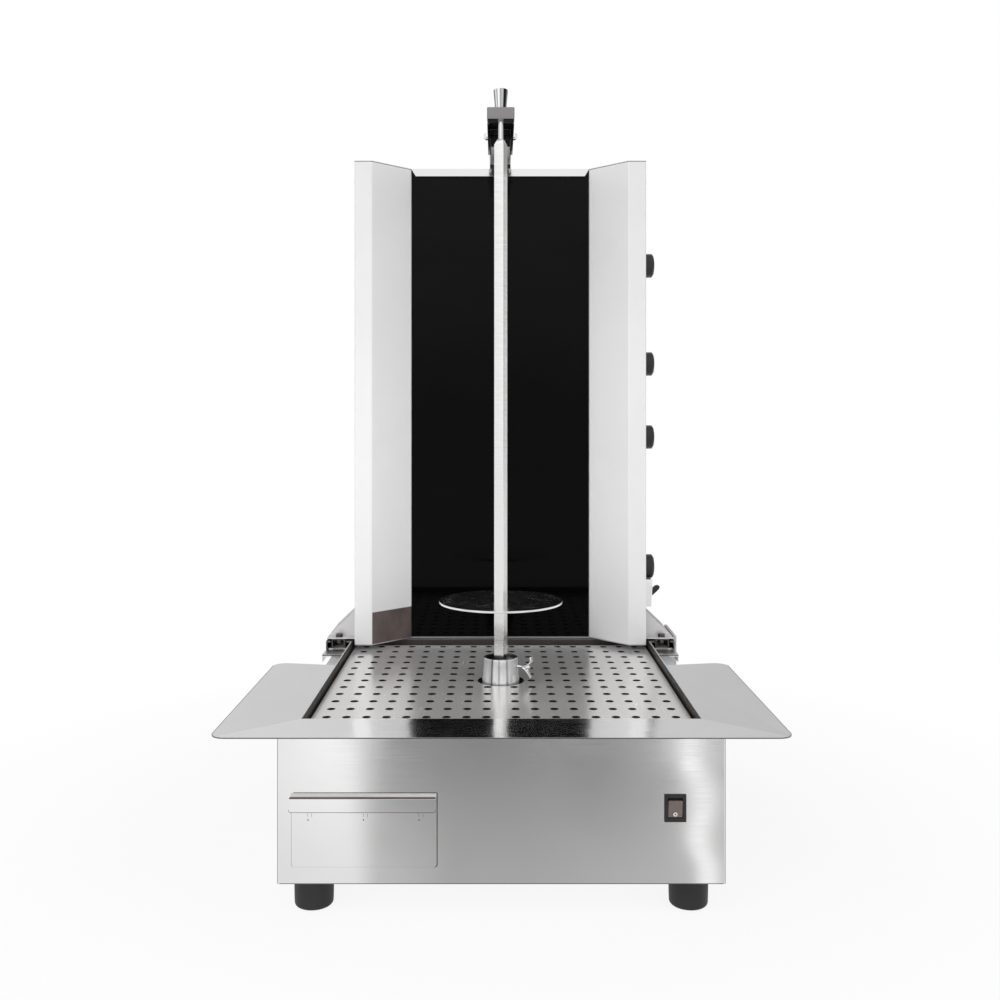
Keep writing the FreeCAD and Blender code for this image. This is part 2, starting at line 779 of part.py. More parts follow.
def make_drawer_front():
    """Front sheet, folded over at the top into a pull with a turned-down lip."""
    body = body_for("drawer_front")
    top = "drawer_low + drawer_tall"
    side = [
        ("pan_front", "drawer_low"), ("pan_front", top), ("drawer_face - pull_deep", top),
        ("drawer_face - pull_deep", f"{top} - pull_drop"),
        ("drawer_face - pull_deep + steel", f"{top} - pull_drop"),
        ("drawer_face - pull_deep + steel", f"{top} - steel"),
        ("drawer_face", f"{top} - steel"), ("drawer_face", "drawer_low"),
    ]
    pad(body, "yz", [side], "drawer_west", "drawer_east - drawer_west")
    soften(body, "drawer_round", lambda e: runs_along(e, "y") and e.Length < value("2 * steel")
           and (near(e.CenterOfMass.z, "drawer_low") or near(e.CenterOfMass.z, f"{top} - pull_drop")))
    keep("drawer_front", body)


def make_drawer_pan():
    body = body_for("drawer_pan")
    west, east = "drawer_x - pan_wide / 2", "drawer_x + pan_wide / 2"
    north = "pan_front + pan_long"
    pad(body, "xy", [rectangle(west, "pan_front", east, north)], "pan_floor", "pan_tall")
    hollow = rectangle(f"{west} + steel", "pan_front + steel", f"{east} - steel", f"{north} - steel")
    pocket(body, "xy", [hollow], "pan_floor + steel", "pan_tall")
    keep("drawer_pan", body)


def make_drawer_runners():
    """Two folded strips: a foot on the floor, a ledge under the pan and a guide beside it."""
    runners = []
    for side in (-1, 1):
        edge = f"drawer_x + {side} * (pan_wide / 2 + pan_play"
        web, back, toe = f"{edge})", f"{edge} + steel)", f"{edge} + runner_foot)"
        ledge = f"{edge} - runner_ledge)"
        outline = [
            (web, "floor_top"), (toe, "floor_top"), (toe, "floor_top + steel"),
            (back, "floor_top + steel"), (back, "pan_floor + runner_guide"),
            (web, "pan_floor + runner_guide"), (web, "pan_floor"), (ledge, "pan_floor"),
            (ledge, "pan_floor - steel"), (web, "pan_floor - steel"),
        ]
        runners.append(prism("runner", "xz", [outline], "front_face + 3 * steel", "pan_long - 6 * steel"))
    keep("drawer_runners", together(*runners))


# --- Power rocker ------------------------------------------------------------------------

def make_rocker_bezel():
    body = body_for("rocker_bezel")
    outside = rectangle("rocker_x - bezel_wide / 2", "rocker_z - bezel_tall / 2",
                        "rocker_x + bezel_wide / 2", "rocker_z + bezel_tall / 2")
    throat = rectangle("rocker_x - rocker_wide / 2 - gap", "rocker_z - rocker_tall / 2 - gap",
                       "rocker_x + rocker_wide / 2 + gap", "rocker_z + rocker_tall / 2 + gap")
    pad(body, "xz", [outside], "front_face - bezel_proud", "bezel_proud")
    soften(body, "bezel_proud / 2", lambda e: near(e.CenterOfMass.y, "front_face - bezel_proud"))
    box = rectangle("rocker_x - rocker_wide / 2 - steel", "rocker_z - rocker_tall / 2 - steel",
                    "rocker_x + rocker_wide / 2 + steel", "rocker_z + rocker_tall / 2 + steel")
    pad(body, "xz", [box], "front_face", "20")
    pocket(body, "xz", [throat], "front_face - bezel_proud - 1", "12 + bezel_proud")
    pocket(body, "yz", [], "rocker_x - rocker_wide", "2 * rocker_wide",
           circles=[("front_face + rocker_pivot", "rocker_z", "rocker_pin / 2 + fit")])
    keep("rocker_bezel", body)


def make_power_rocker():
    """Rocker with a shallow V face, turning on its two round pins; its lower half is pressed in."""
    body = body_for("power_rocker")
    reach = "(rocker_tall / 2)"
    pivot = "(front_face + rocker_pivot)"
    rest, pressed = "rocker_rest", "(rocker_rest - rocker_throw)"
    side = [
        (f"{pivot} - {reach} * sin({rest})", f"rocker_z + {reach} * cos({rest})"),
        (f"{pivot} - rocker_dip", "rocker_z"),
        (f"{pivot} - {reach} * sin({pressed})", f"rocker_z - {reach} * cos({pressed})"),
        (f"{pivot} + 3", f"rocker_z - {reach} * 0.8"), (f"{pivot} + 6", "rocker_z"),
        (f"{pivot} + 3", f"rocker_z + {reach} * 0.8"),
    ]
    pad(body, "yz", [side], "rocker_x - rocker_wide / 2", "rocker_wide")
    pad(body, "yz", [], "rocker_x - rocker_wide / 2 - rocker_pin_reach",
        "rocker_wide + 2 * rocker_pin_reach", circles=[(pivot, "rocker_z", "rocker_pin / 2")])
    keep("power_rocker", body)


# --- Drive -------------------------------------------------------------------------------

def make_gear_motor():
    box = block(("gearbox_wide", "gearbox_deep", "gearbox_tall"),
                ("-gearbox_wide / 2", "spit_y - gearbox_deep / 2", "gearbox_low"))
    box = rounded(box, "gearbox_round", lambda e: runs_along(e, "z"))
    can = rod("motor_round / 2", "motor_long", ("0", "spit_y", "gearbox_low - motor_long"))
    cap = rod("motor_round / 2 - motor_cap", "motor_cap",
              ("0", "spit_y", "gearbox_low - motor_long - motor_cap"))
    bore = rod("bore_r", "bracket_top", ("0", "spit_y", "shaft_low - fit"))
    keep("gear_motor", cut(join(box, can, cap), bore))


def make_motor_bracket():
    """Bridge on two feet; the gear motor hangs under its top."""
    body = body_for("motor_bracket")
    inner = "bracket_half - bracket_sheet"
    outline = [
        ("-bracket_half - bracket_foot", "floor_top"), (f"-({inner})", "floor_top"),
        (f"-({inner})", "bracket_top"), (inner, "bracket_top"), (inner, "floor_top"),
        ("bracket_half + bracket_foot", "floor_top"),
        ("bracket_half + bracket_foot", "floor_top + bracket_sheet"),
        ("bracket_half", "floor_top + bracket_sheet"), ("bracket_half", "bracket_upper"),
        ("-bracket_half", "bracket_upper"), ("-bracket_half", "floor_top + bracket_sheet"),
        ("-bracket_half - bracket_foot", "floor_top + bracket_sheet"),
    ]
    pad(body, "xz", [outline], "spit_y - bracket_deep / 2", "bracket_deep")
    pocket(body, "xy", [], "bracket_top - 1", "bracket_sheet + 2",
           circles=[("0", "spit_y", "shaft_wide / 2 + 4")])
    keep("motor_bracket", body)


def make_bearing_flange():
    flange = block(("bearing_flange", "bearing_flange", "bearing_sheet"),
                   ("-bearing_flange / 2", "spit_y - bearing_flange / 2", "bracket_upper"))
    flange = rounded(flange, "6", lambda e: runs_along(e, "z"))
    boss = rod("bearing_boss / 2", "bearing_tall", ("0", "spit_y", "bracket_upper"))
    bore = rod("bore_r", "2 * bearing_tall", ("0", "spit_y", "bracket_top"))
    keep("bearing_flange", cut(join(flange, boss), bore))


def on_spit(solid, at=("0", "0", "0")):
    """Stand a solid on the spit's axis, turned as the bar is."""
    solid.Placement = Placement(Vector(), Rotation(Vector(0, 0, 1), value("spit_turn")))
    bind(solid, Placement__Rotation__Angle="spit_turn * 1 deg", Placement__Base__y="spit_y")
    return solid


def make_drive_shaft():
    keep("drive_shaft", rod("shaft_wide / 2", "shaft_top - shaft_low", ("0", "spit_y", "shaft_low")))


def make_spit_socket():
    """Turned cup: a skirt over the tray's collar, a square seat and a side hole for the screw."""
    body = body_for("spit_socket")
    profile = [
        ("0", "shaft_top"), ("bore_r", "shaft_top"), ("bore_r", "socket_low + skirt_deep"),
        ("skirt_bore / 2", "socket_low + skirt_deep"), ("skirt_bore / 2", "socket_low"),
        ("socket_wide / 2", "socket_low"), ("socket_wide / 2", "deck_top + 2"),
        ("socket_mouth / 2", "socket_high - 1"), ("socket_mouth / 2 - 1", "socket_high"),
        ("socket_mouth / 2 - socket_wall", "socket_high"),
        ("socket_mouth / 2 - socket_wall", "cup_floor"), ("0", "cup_floor"),
    ]
    drawing = sketch(body, "xz", [profile])
    feature = body.newObject("PartDesign::Revolution", "turned")
    feature.Profile = drawing
    feature.ReferenceAxis = (drawing, ["V_Axis"])
    feature.Angle = 360
    seat = rectangle("-bar_wide / 2 - fit", "-bar_wide / 2 - fit", "bar_wide / 2 + fit", "bar_wide / 2 + fit")
    pocket(body, "xy", [seat], "bar_low", "socket_rise")
    pocket(body, "yz", [], "0", "socket_wide", circles=[("0", "screw_z", "screw_thread / 2 + fit")])
    keep("spit_socket", on_spit(body))


def make_wing_screw():
    """Thumb screw with two thin splayed wings; its tip touches the bar's flat."""
    body = body_for("wing_screw")
    up = "screw_z"
    half = "wing_sheet / 2"
    wing = [
        ("screw_reach - 9", f"{up} - screw_stem / 2"), ("screw_reach + 1", f"{up} - wing_tip"),
        (f"screw_reach + 1 + wing_sheet", f"{up} - wing_tip + {half}"),
        ("screw_reach - 3", f"{up} - screw_stem / 2"),
        ("screw_reach", f"{up} - screw_stem / 2"), ("screw_reach", f"{up} + screw_stem / 2"),
        ("screw_reach + 3 + wing_sheet", f"{up} + wing_tip / 2"),
        ("screw_reach + 1 + wing_sheet", f"{up} + wing_tip"),
        ("screw_reach + 1", f"{up} + wing_tip - {half}"),
        ("screw_reach + 2", f"{up} + wing_tip / 2"),
        ("screw_reach - 3", f"{up} + screw_stem / 2"),
        ("screw_reach - 9", f"{up} + screw_stem / 2"),
    ]
    pad(body, "xz", [wing], "-wing_deep / 2", "wing_deep")
    pad(body, "yz", [], "socket_mouth / 2", "screw_reach - socket_mouth / 2",
        circles=[("0", up, "screw_stem / 2")])
    pad(body, "yz", [], "bar_wide / 2 + fit", "socket_wide / 2 - bar_wide / 2 + 2",
        circles=[("0", up, "screw_thread / 2")])
    keep("wing_screw", on_spit(body))


def make_spit_bar():
    """Square bar with a tapered tip, bored for the arm's pin and for the disc's stop."""
    body = body_for("spit_bar")
    shoulder = "bar_top - bar_tip_tall"
    section = rectangle("-bar_wide / 2", "-bar_wide / 2", "bar_wide / 2", "bar_wide / 2")
    tip = rectangle("-bar_tip_wide / 2", "-bar_tip_wide / 2", "bar_tip_wide / 2", "bar_tip_wide / 2")
    pad(body, "xy", [section], "bar_low", f"{shoulder} - (bar_low)")
    low_end = sketch(body, "xy", [section], level=shoulder)
    high_end = sketch(body, "xy", [tip], level="bar_top")
    taper = body.newObject("PartDesign::AdditiveLoft", "tip")
    taper.Profile = low_end
    taper.Sections = [high_end]
    taper.Ruled = True
    pocket(body, "xy", [], "bar_top - pin_depth - 2", "pin_depth + 4",
           circles=[("0", "0", "pin_wide / 2 + fit")])
    pocket(body, "yz", [], "-bar_wide", "2 * bar_wide",
           circles=[("0", "disc_low - stop_pin / 2", "stop_pin / 2")])
    keep("spit_bar", on_spit(body))


def make_disc_stop():
    body = body_for("disc_stop")
    pad(body, "yz", [], "-bar_wide", "2 * bar_wide",
        circles=[("0", "disc_low - stop_pin / 2", "stop_pin / 2")])
    keep("disc_stop", on_spit(body))


def make_meat_disc():
    body = body_for("meat_disc")
    clear = "bar_wide / 2 + gap"
    seat = rectangle(f"-({clear})", f"-({clear})", clear, clear)
    pad(body, "xy", [seat], "disc_low", "disc_sheet", circles=[("0", "0", "disc_wide / 2")])
    keep("meat_disc", on_spit(body))


# --- Heater housing ----------------------------------------------------------------------

def screw_places():
    for y in ("strip_y + screw_front", "house_back - screw_rear"):
        for z in ("house_low + screw_low", "house_top - screw_high"):
            yield y, z


def make_side_panel(side, label):
    """Side, front strip and slanted heat shield, folded from one sheet."""
    body = body_for(label)
    bend = "steel * tan(slope / 2)"
    last = "steel * tan((90 deg - slope) / 2)"
    path = [
        ("housing_half", "house_back"), ("housing_half", "strip_y"), ("strip_x", "strip_y"),
        ("trough_x", "trough_y"), ("trough_x", "trough_y + shield_return"),
        ("trough_x + steel", "trough_y + shield_return"),
        ("trough_x + steel", f"trough_y + {last}"), (f"strip_x + {bend}", "strip_y + steel"),
        ("housing_half - steel", "strip_y + steel"), ("housing_half - steel", "house_back"),
    ]
    pad(body, "xy", [[(f"{side} * ({x})", y) for x, y in path]], "panel_low", "panel_top - panel_low")
    holes = [(y, z, "screw_shank / 2 + fit") for y, z in screw_places()]
    if side > 0:
        holes += [("control_y", f"deck_top + knob_{n}_rise", "knob_shaft / 2 + 1.5") for n in (1, 2, 3, 4)]
    pocket(body, "yz", [], f"{side} * (housing_half - steel / 2) - 2 * steel", "4 * steel", circles=holes)
    keep(label, body)


def housing_plan():
    """Outline of the housing seen from above."""
    right = [("housing_half", "house_back"), ("housing_half", "strip_y"),
             ("strip_x", "strip_y"), ("trough_x", "trough_y")]
    left = [(f"-({x})", y) for x, y in reversed(right)]
    return right + left


def make_top_cover():
    """Cover with a front lip that hangs in front of the glass, its ends cut at a slant."""
    body = body_for("top_cover")
    pad(body, "xy", [housing_plan()], "panel_top", "steel")
    lip_half = "trough_x - gap"
    lip = [
        (f"-({lip_half})", "panel_top"), (f"lip_slant - ({lip_half})", "house_top - lip_tall"),
        (f"{lip_half} - lip_slant", "house_top - lip_tall"), (lip_half, "panel_top"),
    ]
    pad(body, "xz", [lip], "trough_y", "steel")
    keep("top_cover", body)


def make_housing_floor():
    keep("housing_floor", prism("housing_floor", "xy", [housing_plan()], "house_low", "steel"))


def make_rear_cover():
    """Back sheet with folded edges and rows of cooling slots."""
    body = body_for("rear_cover")
    half = "housing_half - steel"
    wrap = [
        (f"-({half})", "house_back"), (half, "house_back"), (half, "house_back - rear_flange"),
        (f"{half} - steel", "house_back - rear_flange"), (f"{half} - steel", "house_back - steel"),
        (f"steel - ({half})", "house_back - steel"), (f"steel - ({half})", "house_back - rear_flange"),
        (f"-({half})", "house_back - rear_flange"),
    ]
    pad(body, "xy", [wrap], "panel_low", "panel_top - panel_low")
    for side in ("-1", "1"):
        slot = rectangle(f"{side} * housing_half / 2 - louvre_long / 2", "panel_top - 9 * louvre_pitch",
                         f"{side} * housing_half / 2 + louvre_long / 2",
                         "panel_top - 9 * louvre_pitch + louvre_wide")
        first = pocket(body, "xz", [slot], "house_back - 2 * steel", "3 * steel")
        repeat(body, first, "Z_Axis", "louvre_pitch", "7")
    holes = [(y, z, "screw_shank / 2 + fit") for y, z in screw_places() if y.startswith("house_back")]
    pocket(body, "yz", [], "-housing_half", "2 * housing_half", circles=holes)
    keep("rear_cover", body)


def make_glass_panel():
    half = "trough_x - gap"
    keep("glass_panel", block((f"2 * ({half})", "glass_sheet", "panel_top - panel_low - 2 * gap"),
                              (f"-({half})", "glass_y", "panel_low + gap")))


def make_glass_retainers():
    """Angle strips that hold the glass's edges from behind."""
    strips = []
    for side in (-1, 1):
        outline = [
            ("trough_x - retainer_wide", "glass_rear"), ("trough_x", "glass_rear"),
            ("trough_x", "glass_rear + retainer_deep"), ("trough_x - steel", "glass_rear + retainer_deep"),
            ("trough_x - steel", "glass_rear + steel"), ("trough_x - retainer_wide", "glass_rear + steel"),
        ]
        strips.append(prism("retainer", "xy", [[(f"{side} * ({x})", y) for x, y in outline]],
                            "panel_low", "panel_top - panel_low"))
    keep("glass_retainers", together(*strips))


def heater_z(index):
    return f"panel_low + heater_low + {index} * heater_pitch"


def make_heater_pans():
    pans = []
    for index in range(SIZES["heaters"]):
        low = heater_z(index)
        outer = block(("heater_wide", "heater_deep", "heater_tall"), ("-heater_wide / 2", "heater_y", low))
        inner = block(("heater_wide - 2 * heater_wall", "2 * heater_recess",
                       "heater_tall - 2 * heater_wall"),
                      ("heater_wall - heater_wide / 2", "heater_y - heater_recess", f"{low} + heater_wall"))
        pans.append(cut(outer, inner))
    keep("heater_pans", together(*pans))


def ribbon_outline(low):
    """A standing ribbon that runs to and fro: out along one face and home along the other."""
    reach = "(heater_wide / 2 - heater_wall - ribbon_end)"
    legs = SIZES["ribbon_legs"]
    out, home = [], []
    for leg in range(legs):
        z = f"{low} + heater_tall / 2 + ({leg} - (ribbon_legs - 1) / 2) * ribbon_pitch"
        way = 1 if leg % 2 == 0 else -1
        near_end = f"{-way} * {reach}" if leg == 0 else f"{-way} * ({reach} - ribbon_sheet)"
        far_end = f"{way} * {reach}"
        thin_end = f"{way} * ({reach} - ribbon_sheet)" if leg < legs - 1 else f"{way} * {reach}"
        lower, upper = z, f"{z} + ribbon_sheet"
        if leg % 2 == 0:
            out += [(near_end, lower), (far_end, lower)]
            home += [(f"{-way} * {reach}" if leg else near_end, upper), (thin_end, upper)]
        else:
            out += [(f"{-way} * {reach}", upper), (thin_end, upper)]
            home += [(near_end, lower), (far_end, lower)]
    return out + home[::-1]


def make_heater_ribbons():
    ribbons = [prism("ribbon", "xz", [ribbon_outline(heater_z(index))],
                     "heater_y + heater_recess - ribbon_deep", "ribbon_deep")
               for index in range(SIZES["heaters"])]
    keep("heater_ribbons", together(*ribbons))


def make_insulation_board():
    keep("insulation_board", block(("2 * board_half", "board_sheet", "panel_top - panel_low - steel"),
                                   ("-board_half", "board_y", "panel_low")))


# --- Side controls -----------------------------------------------------------------------

def make_regulators():
    parts = []
    for n in (1, 2, 3, 4):
        z = f"deck_top + knob_{n}_rise"
        case = block(("regulator_deep", "regulator_wide", "regulator_wide"),
                     ("housing_half - steel - regulator_deep", "control_y - regulator_wide / 2",
                      f"{z} - regulator_wide / 2"))
        bore = rod("knob_shaft / 2 + fit", "regulator_deep",
                   ("housing_half - knob_stem - fit", "control_y", z), "x")
        parts.append(cut(case, bore))
    keep("regulators", together(*parts))


def make_knob(n):
    """Round knob with a raised skirt and a shaft, turning about X."""
    profile = [
        ("0", "-knob_stem"), ("knob_shaft / 2", "-knob_stem"), ("knob_shaft / 2", "2 * gap"),
        ("knob_wide / 2", "2 * gap"), ("knob_wide / 2", "knob_skirt"),
        ("knob_wide / 2 - knob_taper", "knob_proud - knob_round"),
        ("knob_wide / 2 - knob_taper - knob_round", "knob_proud"), ("0", "knob_proud"),
    ]
    knob = turned(f"knob_{n}", profile, ("housing_half", "control_y", f"deck_top + knob_{n}_rise"), "x")
    keep(f"knob_{n}", knob)


def make_switch_box():
    """Small box on the housing's side, with a slot for the lever."""
    body = body_for("switch_box")
    low = "deck_top + switch_low"
    side = [
        ("housing_half", low), ("switch_face - 2", low), ("switch_face", f"{low} + switch_tall - 3"),
        ("switch_face - 2", f"{low} + switch_tall"), ("housing_half", f"{low} + switch_tall"),
    ]
    pad(body, "xz", [side], "control_y - switch_wide / 2", "switch_wide")
    slot = rectangle("control_y - lever_wide / 2 - gap", "lever_z - lever_hub",
                     "control_y + lever_wide / 2 + gap", "lever_z + lever_hub")
    pocket(body, "yz", [slot], "switch_face - lever_hub", "2 * lever_hub")
    keep("switch_box", body)


def make_switch_lever():
    """Thumb lever on a round hub that turns in the box's slot."""
    body = body_for("switch_lever")
    hub = "(switch_face - lever_hub / 2)"
    pad(body, "xz", [], "control_y - lever_wide / 2", "lever_wide",
        circles=[(hub, "lever_z", "lever_hub / 2 - gap")])
    thumb = [
        (hub, "lever_z - lever_hub / 3"), ("switch_face + 0.1 * lever_reach", "lever_z - lever_hub / 3"),
        ("switch_face + 0.57 * lever_reach", "lever_z + 0.2 * lever_reach"),
        ("switch_face + 0.93 * lever_reach", "lever_z + 0.57 * lever_reach"),
        ("switch_face + lever_reach", "lever_z + 0.86 * lever_reach"),
        ("switch_face + 0.8 * lever_reach", "lever_z + lever_reach"),
        ("switch_face + 0.43 * lever_reach", "lever_z + 0.93 * lever_reach"),
        ("switch_face + 0.14 * lever_reach", "lever_z + 0.64 * lever_reach"),
        (hub, "lever_z + lever_hub / 3"),
    ]
    pad(body, "xz", [thumb], "control_y - lever_wide / 2", "lever_wide")
    keep("switch_lever", body)


# --- Slides ------------------------------------------------------------------------------

def pair(name, facing, loops, start, length):
    """The same section on the grill's right and left."""
    solids = []
    for side in (-1, 1):
        sided = [[(f"{side} * ({x})", z) for x, z in loop] for loop in loops]
        solids.append(prism(name, facing, sided, start, length))
    return solids


def make_rail_shelves():
    """Cover plates on the base's rear part, widened under the rails to an edge with a lip."""
    cover = [
        ("tray_outer", "shelf_top"), ("base_half", "shelf_top"), ("base_half", "shelf_top - steel"),
        ("tray_outer", "shelf_top - steel"),
    ]
    shelf = [
        ("tray_outer", "shelf_top"), ("rail_out", "shelf_top"), ("rail_out", "shelf_top - shelf_lip"),
        ("rail_out - steel", "shelf_top - shelf_lip"), ("rail_out - steel", "shelf_top - steel"),
        ("tray_outer", "shelf_top - steel"),
    ]
    covers = pair("cover", "xz", [cover], "wing_tail + gap", "back_face - wing_tail - gap")
    shelves = pair("shelf", "xz", [shelf], "apron_y", "back_face - apron_y")
    keep("rail_shelves", together(*[join(*both) for both in zip(covers, shelves)]))


def make_fixed_rails():
    """Upward open channels with inturned lips; the floor runs on before them as an apron."""
    outline = [
        ("rail_in", "shelf_top"), ("rail_out", "shelf_top"), ("rail_out", "rail_top"),
        ("rail_out - rail_lip", "rail_top"), ("rail_out - rail_lip", "rail_top - rail_sheet"),
        ("rail_out - rail_sheet", "rail_top - rail_sheet"), ("rail_out - rail_sheet", "rail_floor"),
        ("rail_in + rail_sheet", "rail_floor"), ("rail_in + rail_sheet", "rail_top - rail_sheet"),
        ("rail_in + rail_lip", "rail_top - rail_sheet"), ("rail_in + rail_lip", "rail_top"),
        ("rail_in", "rail_top"),
    ]
    floor = rectangle("rail_in", "shelf_top", "rail_out", "rail_floor")
    rails = pair("rail", "xz", [outline], "rail_y", "back_face - rail_y")
    aprons = pair("apron", "xz", [floor], "apron_y", "rail_y - apron_y")
    keep("fixed_rails", together(*[join(*both) for both in zip(rails, aprons)]))


def clamp_places(side):
    for y in ("gusset_y + gusset_ledge / 2", "web_y + 0.8 * (gusset_long - gusset_ledge)"):
        yield f"{side} * rail_mid", y


def make_rail_carriages():
    """Hat sections that run in the rails, under the gussets."""
    half = "carriage_wide / 2"
    toe = f"{half} + carriage_foot"
    outline = [
        (f"rail_mid - {half}", "gusset_z"), (f"rail_mid + {half}", "gusset_z"),
        (f"rail_mid + {half}", "carriage_low + rail_sheet"),
        (f"rail_mid + {toe}", "carriage_low + rail_sheet"), (f"rail_mid + {toe}", "carriage_low"),
        (f"rail_mid + {half} - rail_sheet", "carriage_low"),
        (f"rail_mid + {half} - rail_sheet", "gusset_z - rail_sheet"),
        (f"rail_mid - {half} + rail_sheet", "gusset_z - rail_sheet"),
        (f"rail_mid - {half} + rail_sheet", "carriage_low"),
        (f"rail_mid - ({toe})", "carriage_low"), (f"rail_mid - ({toe})", "carriage_low + rail_sheet"),
        (f"rail_mid - {half}", "carriage_low + rail_sheet"),
    ]
    carriages = pair("carriage", "xz", [outline], "gusset_y", "gusset_long")
    for side, body in zip((-1, 1), carriages):
        pocket(body, "xy", [], "gusset_z - 2 * rail_sheet", "3 * rail_sheet",
               circles=[(x, y, "clamp_bolt / 2 + gap") for x, y in clamp_places(side)])
    keep("rail_carriages", together(*carriages))


def make_glide_strips():
    """Plastic strips under the carriages' feet."""
    half = "carriage_wide / 2"
    strips = []
    for way in ("-1", "1"):
        inner = f"rail_mid + {way} * ({half} - rail_sheet)"
        outer = f"rail_mid + {way} * ({half} + carriage_foot)"
        outline = [(inner, "rail_floor"), (outer, "rail_floor"), (outer, "carriage_low"),
                   (inner, "carriage_low")]
        strips += pair("glide", "xz", [outline], "gusset_y", "gusset_long")
    keep("glide_strips", together(*strips))


def make_gusset(side, label):
    """Angle plate with two triangular webs, from the housing's side to its carriage."""
    body = body_for(label)
    plate_top = "gusset_z + gusset_sheet"
    angle = [
        ("housing_half", "gusset_z"), ("rail_out - steel", "gusset_z"), ("rail_out - steel", plate_top),
        ("housing_half + gusset_sheet", plate_top), ("housing_half + gusset_sheet", "gusset_z + gusset_tall"),
        ("housing_half", "gusset_z + gusset_tall"),
    ]
    sided = [(f"{side} * ({x})", z) for x, z in angle]
    pad(body, "xz", [sided], "gusset_y", "gusset_long")
    web = [("housing_half + gusset_sheet", plate_top), ("rail_out - steel", plate_top),
           ("housing_half + gusset_sheet", "gusset_z + gusset_tall")]
    sided = [(f"{side} * ({x})", z) for x, z in web]
    for start in ("web_y", "gusset_y + gusset_long - gusset_sheet"):
        pad(body, "xz", [sided], start, "gusset_sheet")
    pocket(body, "xy", [], "gusset_z - 1", "gusset_sheet + 2",
           circles=[(x, y, "clamp_bolt / 2 + gap") for x, y in clamp_places(side)])
    keep(label, body)


def make_gusset_bolts():
    bolts = []
    for side in (-1, 1):
        for x, y in clamp_places(side):
            top = "gusset_z + gusset_sheet"
            head = hexagon("clamp_bolt * 1.7", "5", (x, y, top))
            washer = rod("clamp_bolt", "1", (x, y, top))
            shank = rod("clamp_bolt / 2", "gusset_sheet + 9", (x, y, "gusset_z - 9"))
            nut = hexagon("clamp_bolt * 1.7", "5", (x, y, "gusset_z - rail_sheet - 5"))
            bolts.append(join(head, washer, shank, nut))
    keep("gusset_bolts", together(*bolts))


def make_cable_guard():
    """Cover on the base's right side, beside the slide, over the wires to the housing."""
    body = body_for("cable_guard")
    shelf_low = "shelf_top - shelf_lip"
    section = [
        ("base_half", "guard_low"), ("guard_out", "guard_low"), ("guard_out", "guard_top"),
        ("rail_out + gap", "guard_top"), ("rail_out + gap", f"{shelf_low} - gap"),
        ("base_half", f"{shelf_low} - gap"),
    ]
    pad(body, "xz", [section], "guard_y", "guard_long")
    soften(body, "guard_round", lambda e: runs_along(e, "y") and near(e.CenterOfMass.x, "guard_out")
           and near(e.CenterOfMass.z, "guard_top"))
    hollow = [
        ("base_half - 1", "guard_low + steel"), ("guard_out - steel", "guard_low + steel"),
        ("guard_out - steel", "guard_top - steel"), ("rail_out + gap + steel", "guard_top - steel"),
        ("rail_out + gap + steel", f"{shelf_low} - gap - steel"),
        ("base_half - 1", f"{shelf_low} - gap - steel"),
    ]
    pocket(body, "xz", [hollow], "guard_y + steel", "guard_long - 2 * steel")
    keep("cable_guard", body)


def make_cable_gland():
    """Gland for the mains lead, in the base's back."""
    thread = rod("gland_bore / 2 + gland_wall", "gland_long",
                 ("gland_x", "back_face - steel - gland_dome", "gland_z"), "y")
    nut = hexagon("gland_nut", "gland_wide", ("gland_x", "back_face", "gland_z"), "y")
    dome = cone("gland_nut / 2 - 1", "gland_bore / 2 + 2", "gland_dome",
                ("gland_x", "back_face + gland_wide", "gland_z"), "y")
    lock = hexagon("gland_nut", "gland_lock", ("gland_x", "back_face - steel - gland_lock", "gland_z"),
                   "y")
    bore = rod("gland_bore / 2", "3 * gland_long",
               ("gland_x", "back_face - gland_long", "gland_z"), "y")
    keep("cable_gland", cut(join(thread, nut, dome, lock), bore))


# --- Top arm -----------------------------------------------------------------------------

def channel(body, half, low, high, start, length):
    outline = [
        (f"-({half})", low), (f"-({half})", high), (half, high), (half, low),
        (f"{half} - arm_sheet", low), (f"{half} - arm_sheet", f"{high} - arm_sheet"),
        (f"arm_sheet - ({half})", f"{high} - arm_sheet"), (f"arm_sheet - ({half})", low),
    ]
    pad(body, "xz", [outline], start, length)
    soften(body, "arm_round", lambda e: runs_along(e, "y") and near(e.CenterOfMass.z, high))


def make_arm_front_channel():
    body = body_for("arm_front_channel")
    start = "spit_y + arm_block / 2"
    channel(body, "arm_half", "arm_z", "arm_top", start, f"spit_y + arm_front_end - ({start})")
    pocket(body, "yz", [], "-arm_wide", "2 * arm_wide",
           circles=[("cross_y", "cross_z", "cross_bolt / 2 + fit")])
    keep("arm_front_channel", body)


def make_arm_rear_channel():
    """Inner channel on the housing, slotted so that the front channel can slide over it."""
    body = body_for("arm_rear_channel")
    channel(body, "inner_half", "arm_z", "inner_top", "spit_y + arm_rear_start",
            "rear_reach - arm_rear_inset - arm_rear_start")
    clear = "cross_bolt / 2 + gap"
    slot = rectangle(f"cross_y - ({clear})", f"cross_z - ({clear})",
                     f"cross_y + slide_travel + {clear}", f"cross_z + {clear}")
    pocket(body, "yz", [slot], "-arm_wide", "2 * arm_wide")
    keep("arm_rear_channel", body)


def make_arm_block():
    body = body_for("arm_block")
    plan = rectangle("-arm_half", "spit_y - arm_block / 2", "arm_half", "spit_y + arm_block / 2")
    pad(body, "xy", [plan], "arm_z", "arm_tall", circles=[("0", "spit_y", "pin_wide / 2 + fit")])
    soften(body, "arm_round", lambda e: (runs_along(e, "y") and near(e.CenterOfMass.z, "arm_top"))
           or (runs_along(e, "z") and near(e.CenterOfMass.y, "spit_y - arm_block / 2")))
    keep("arm_block", body)


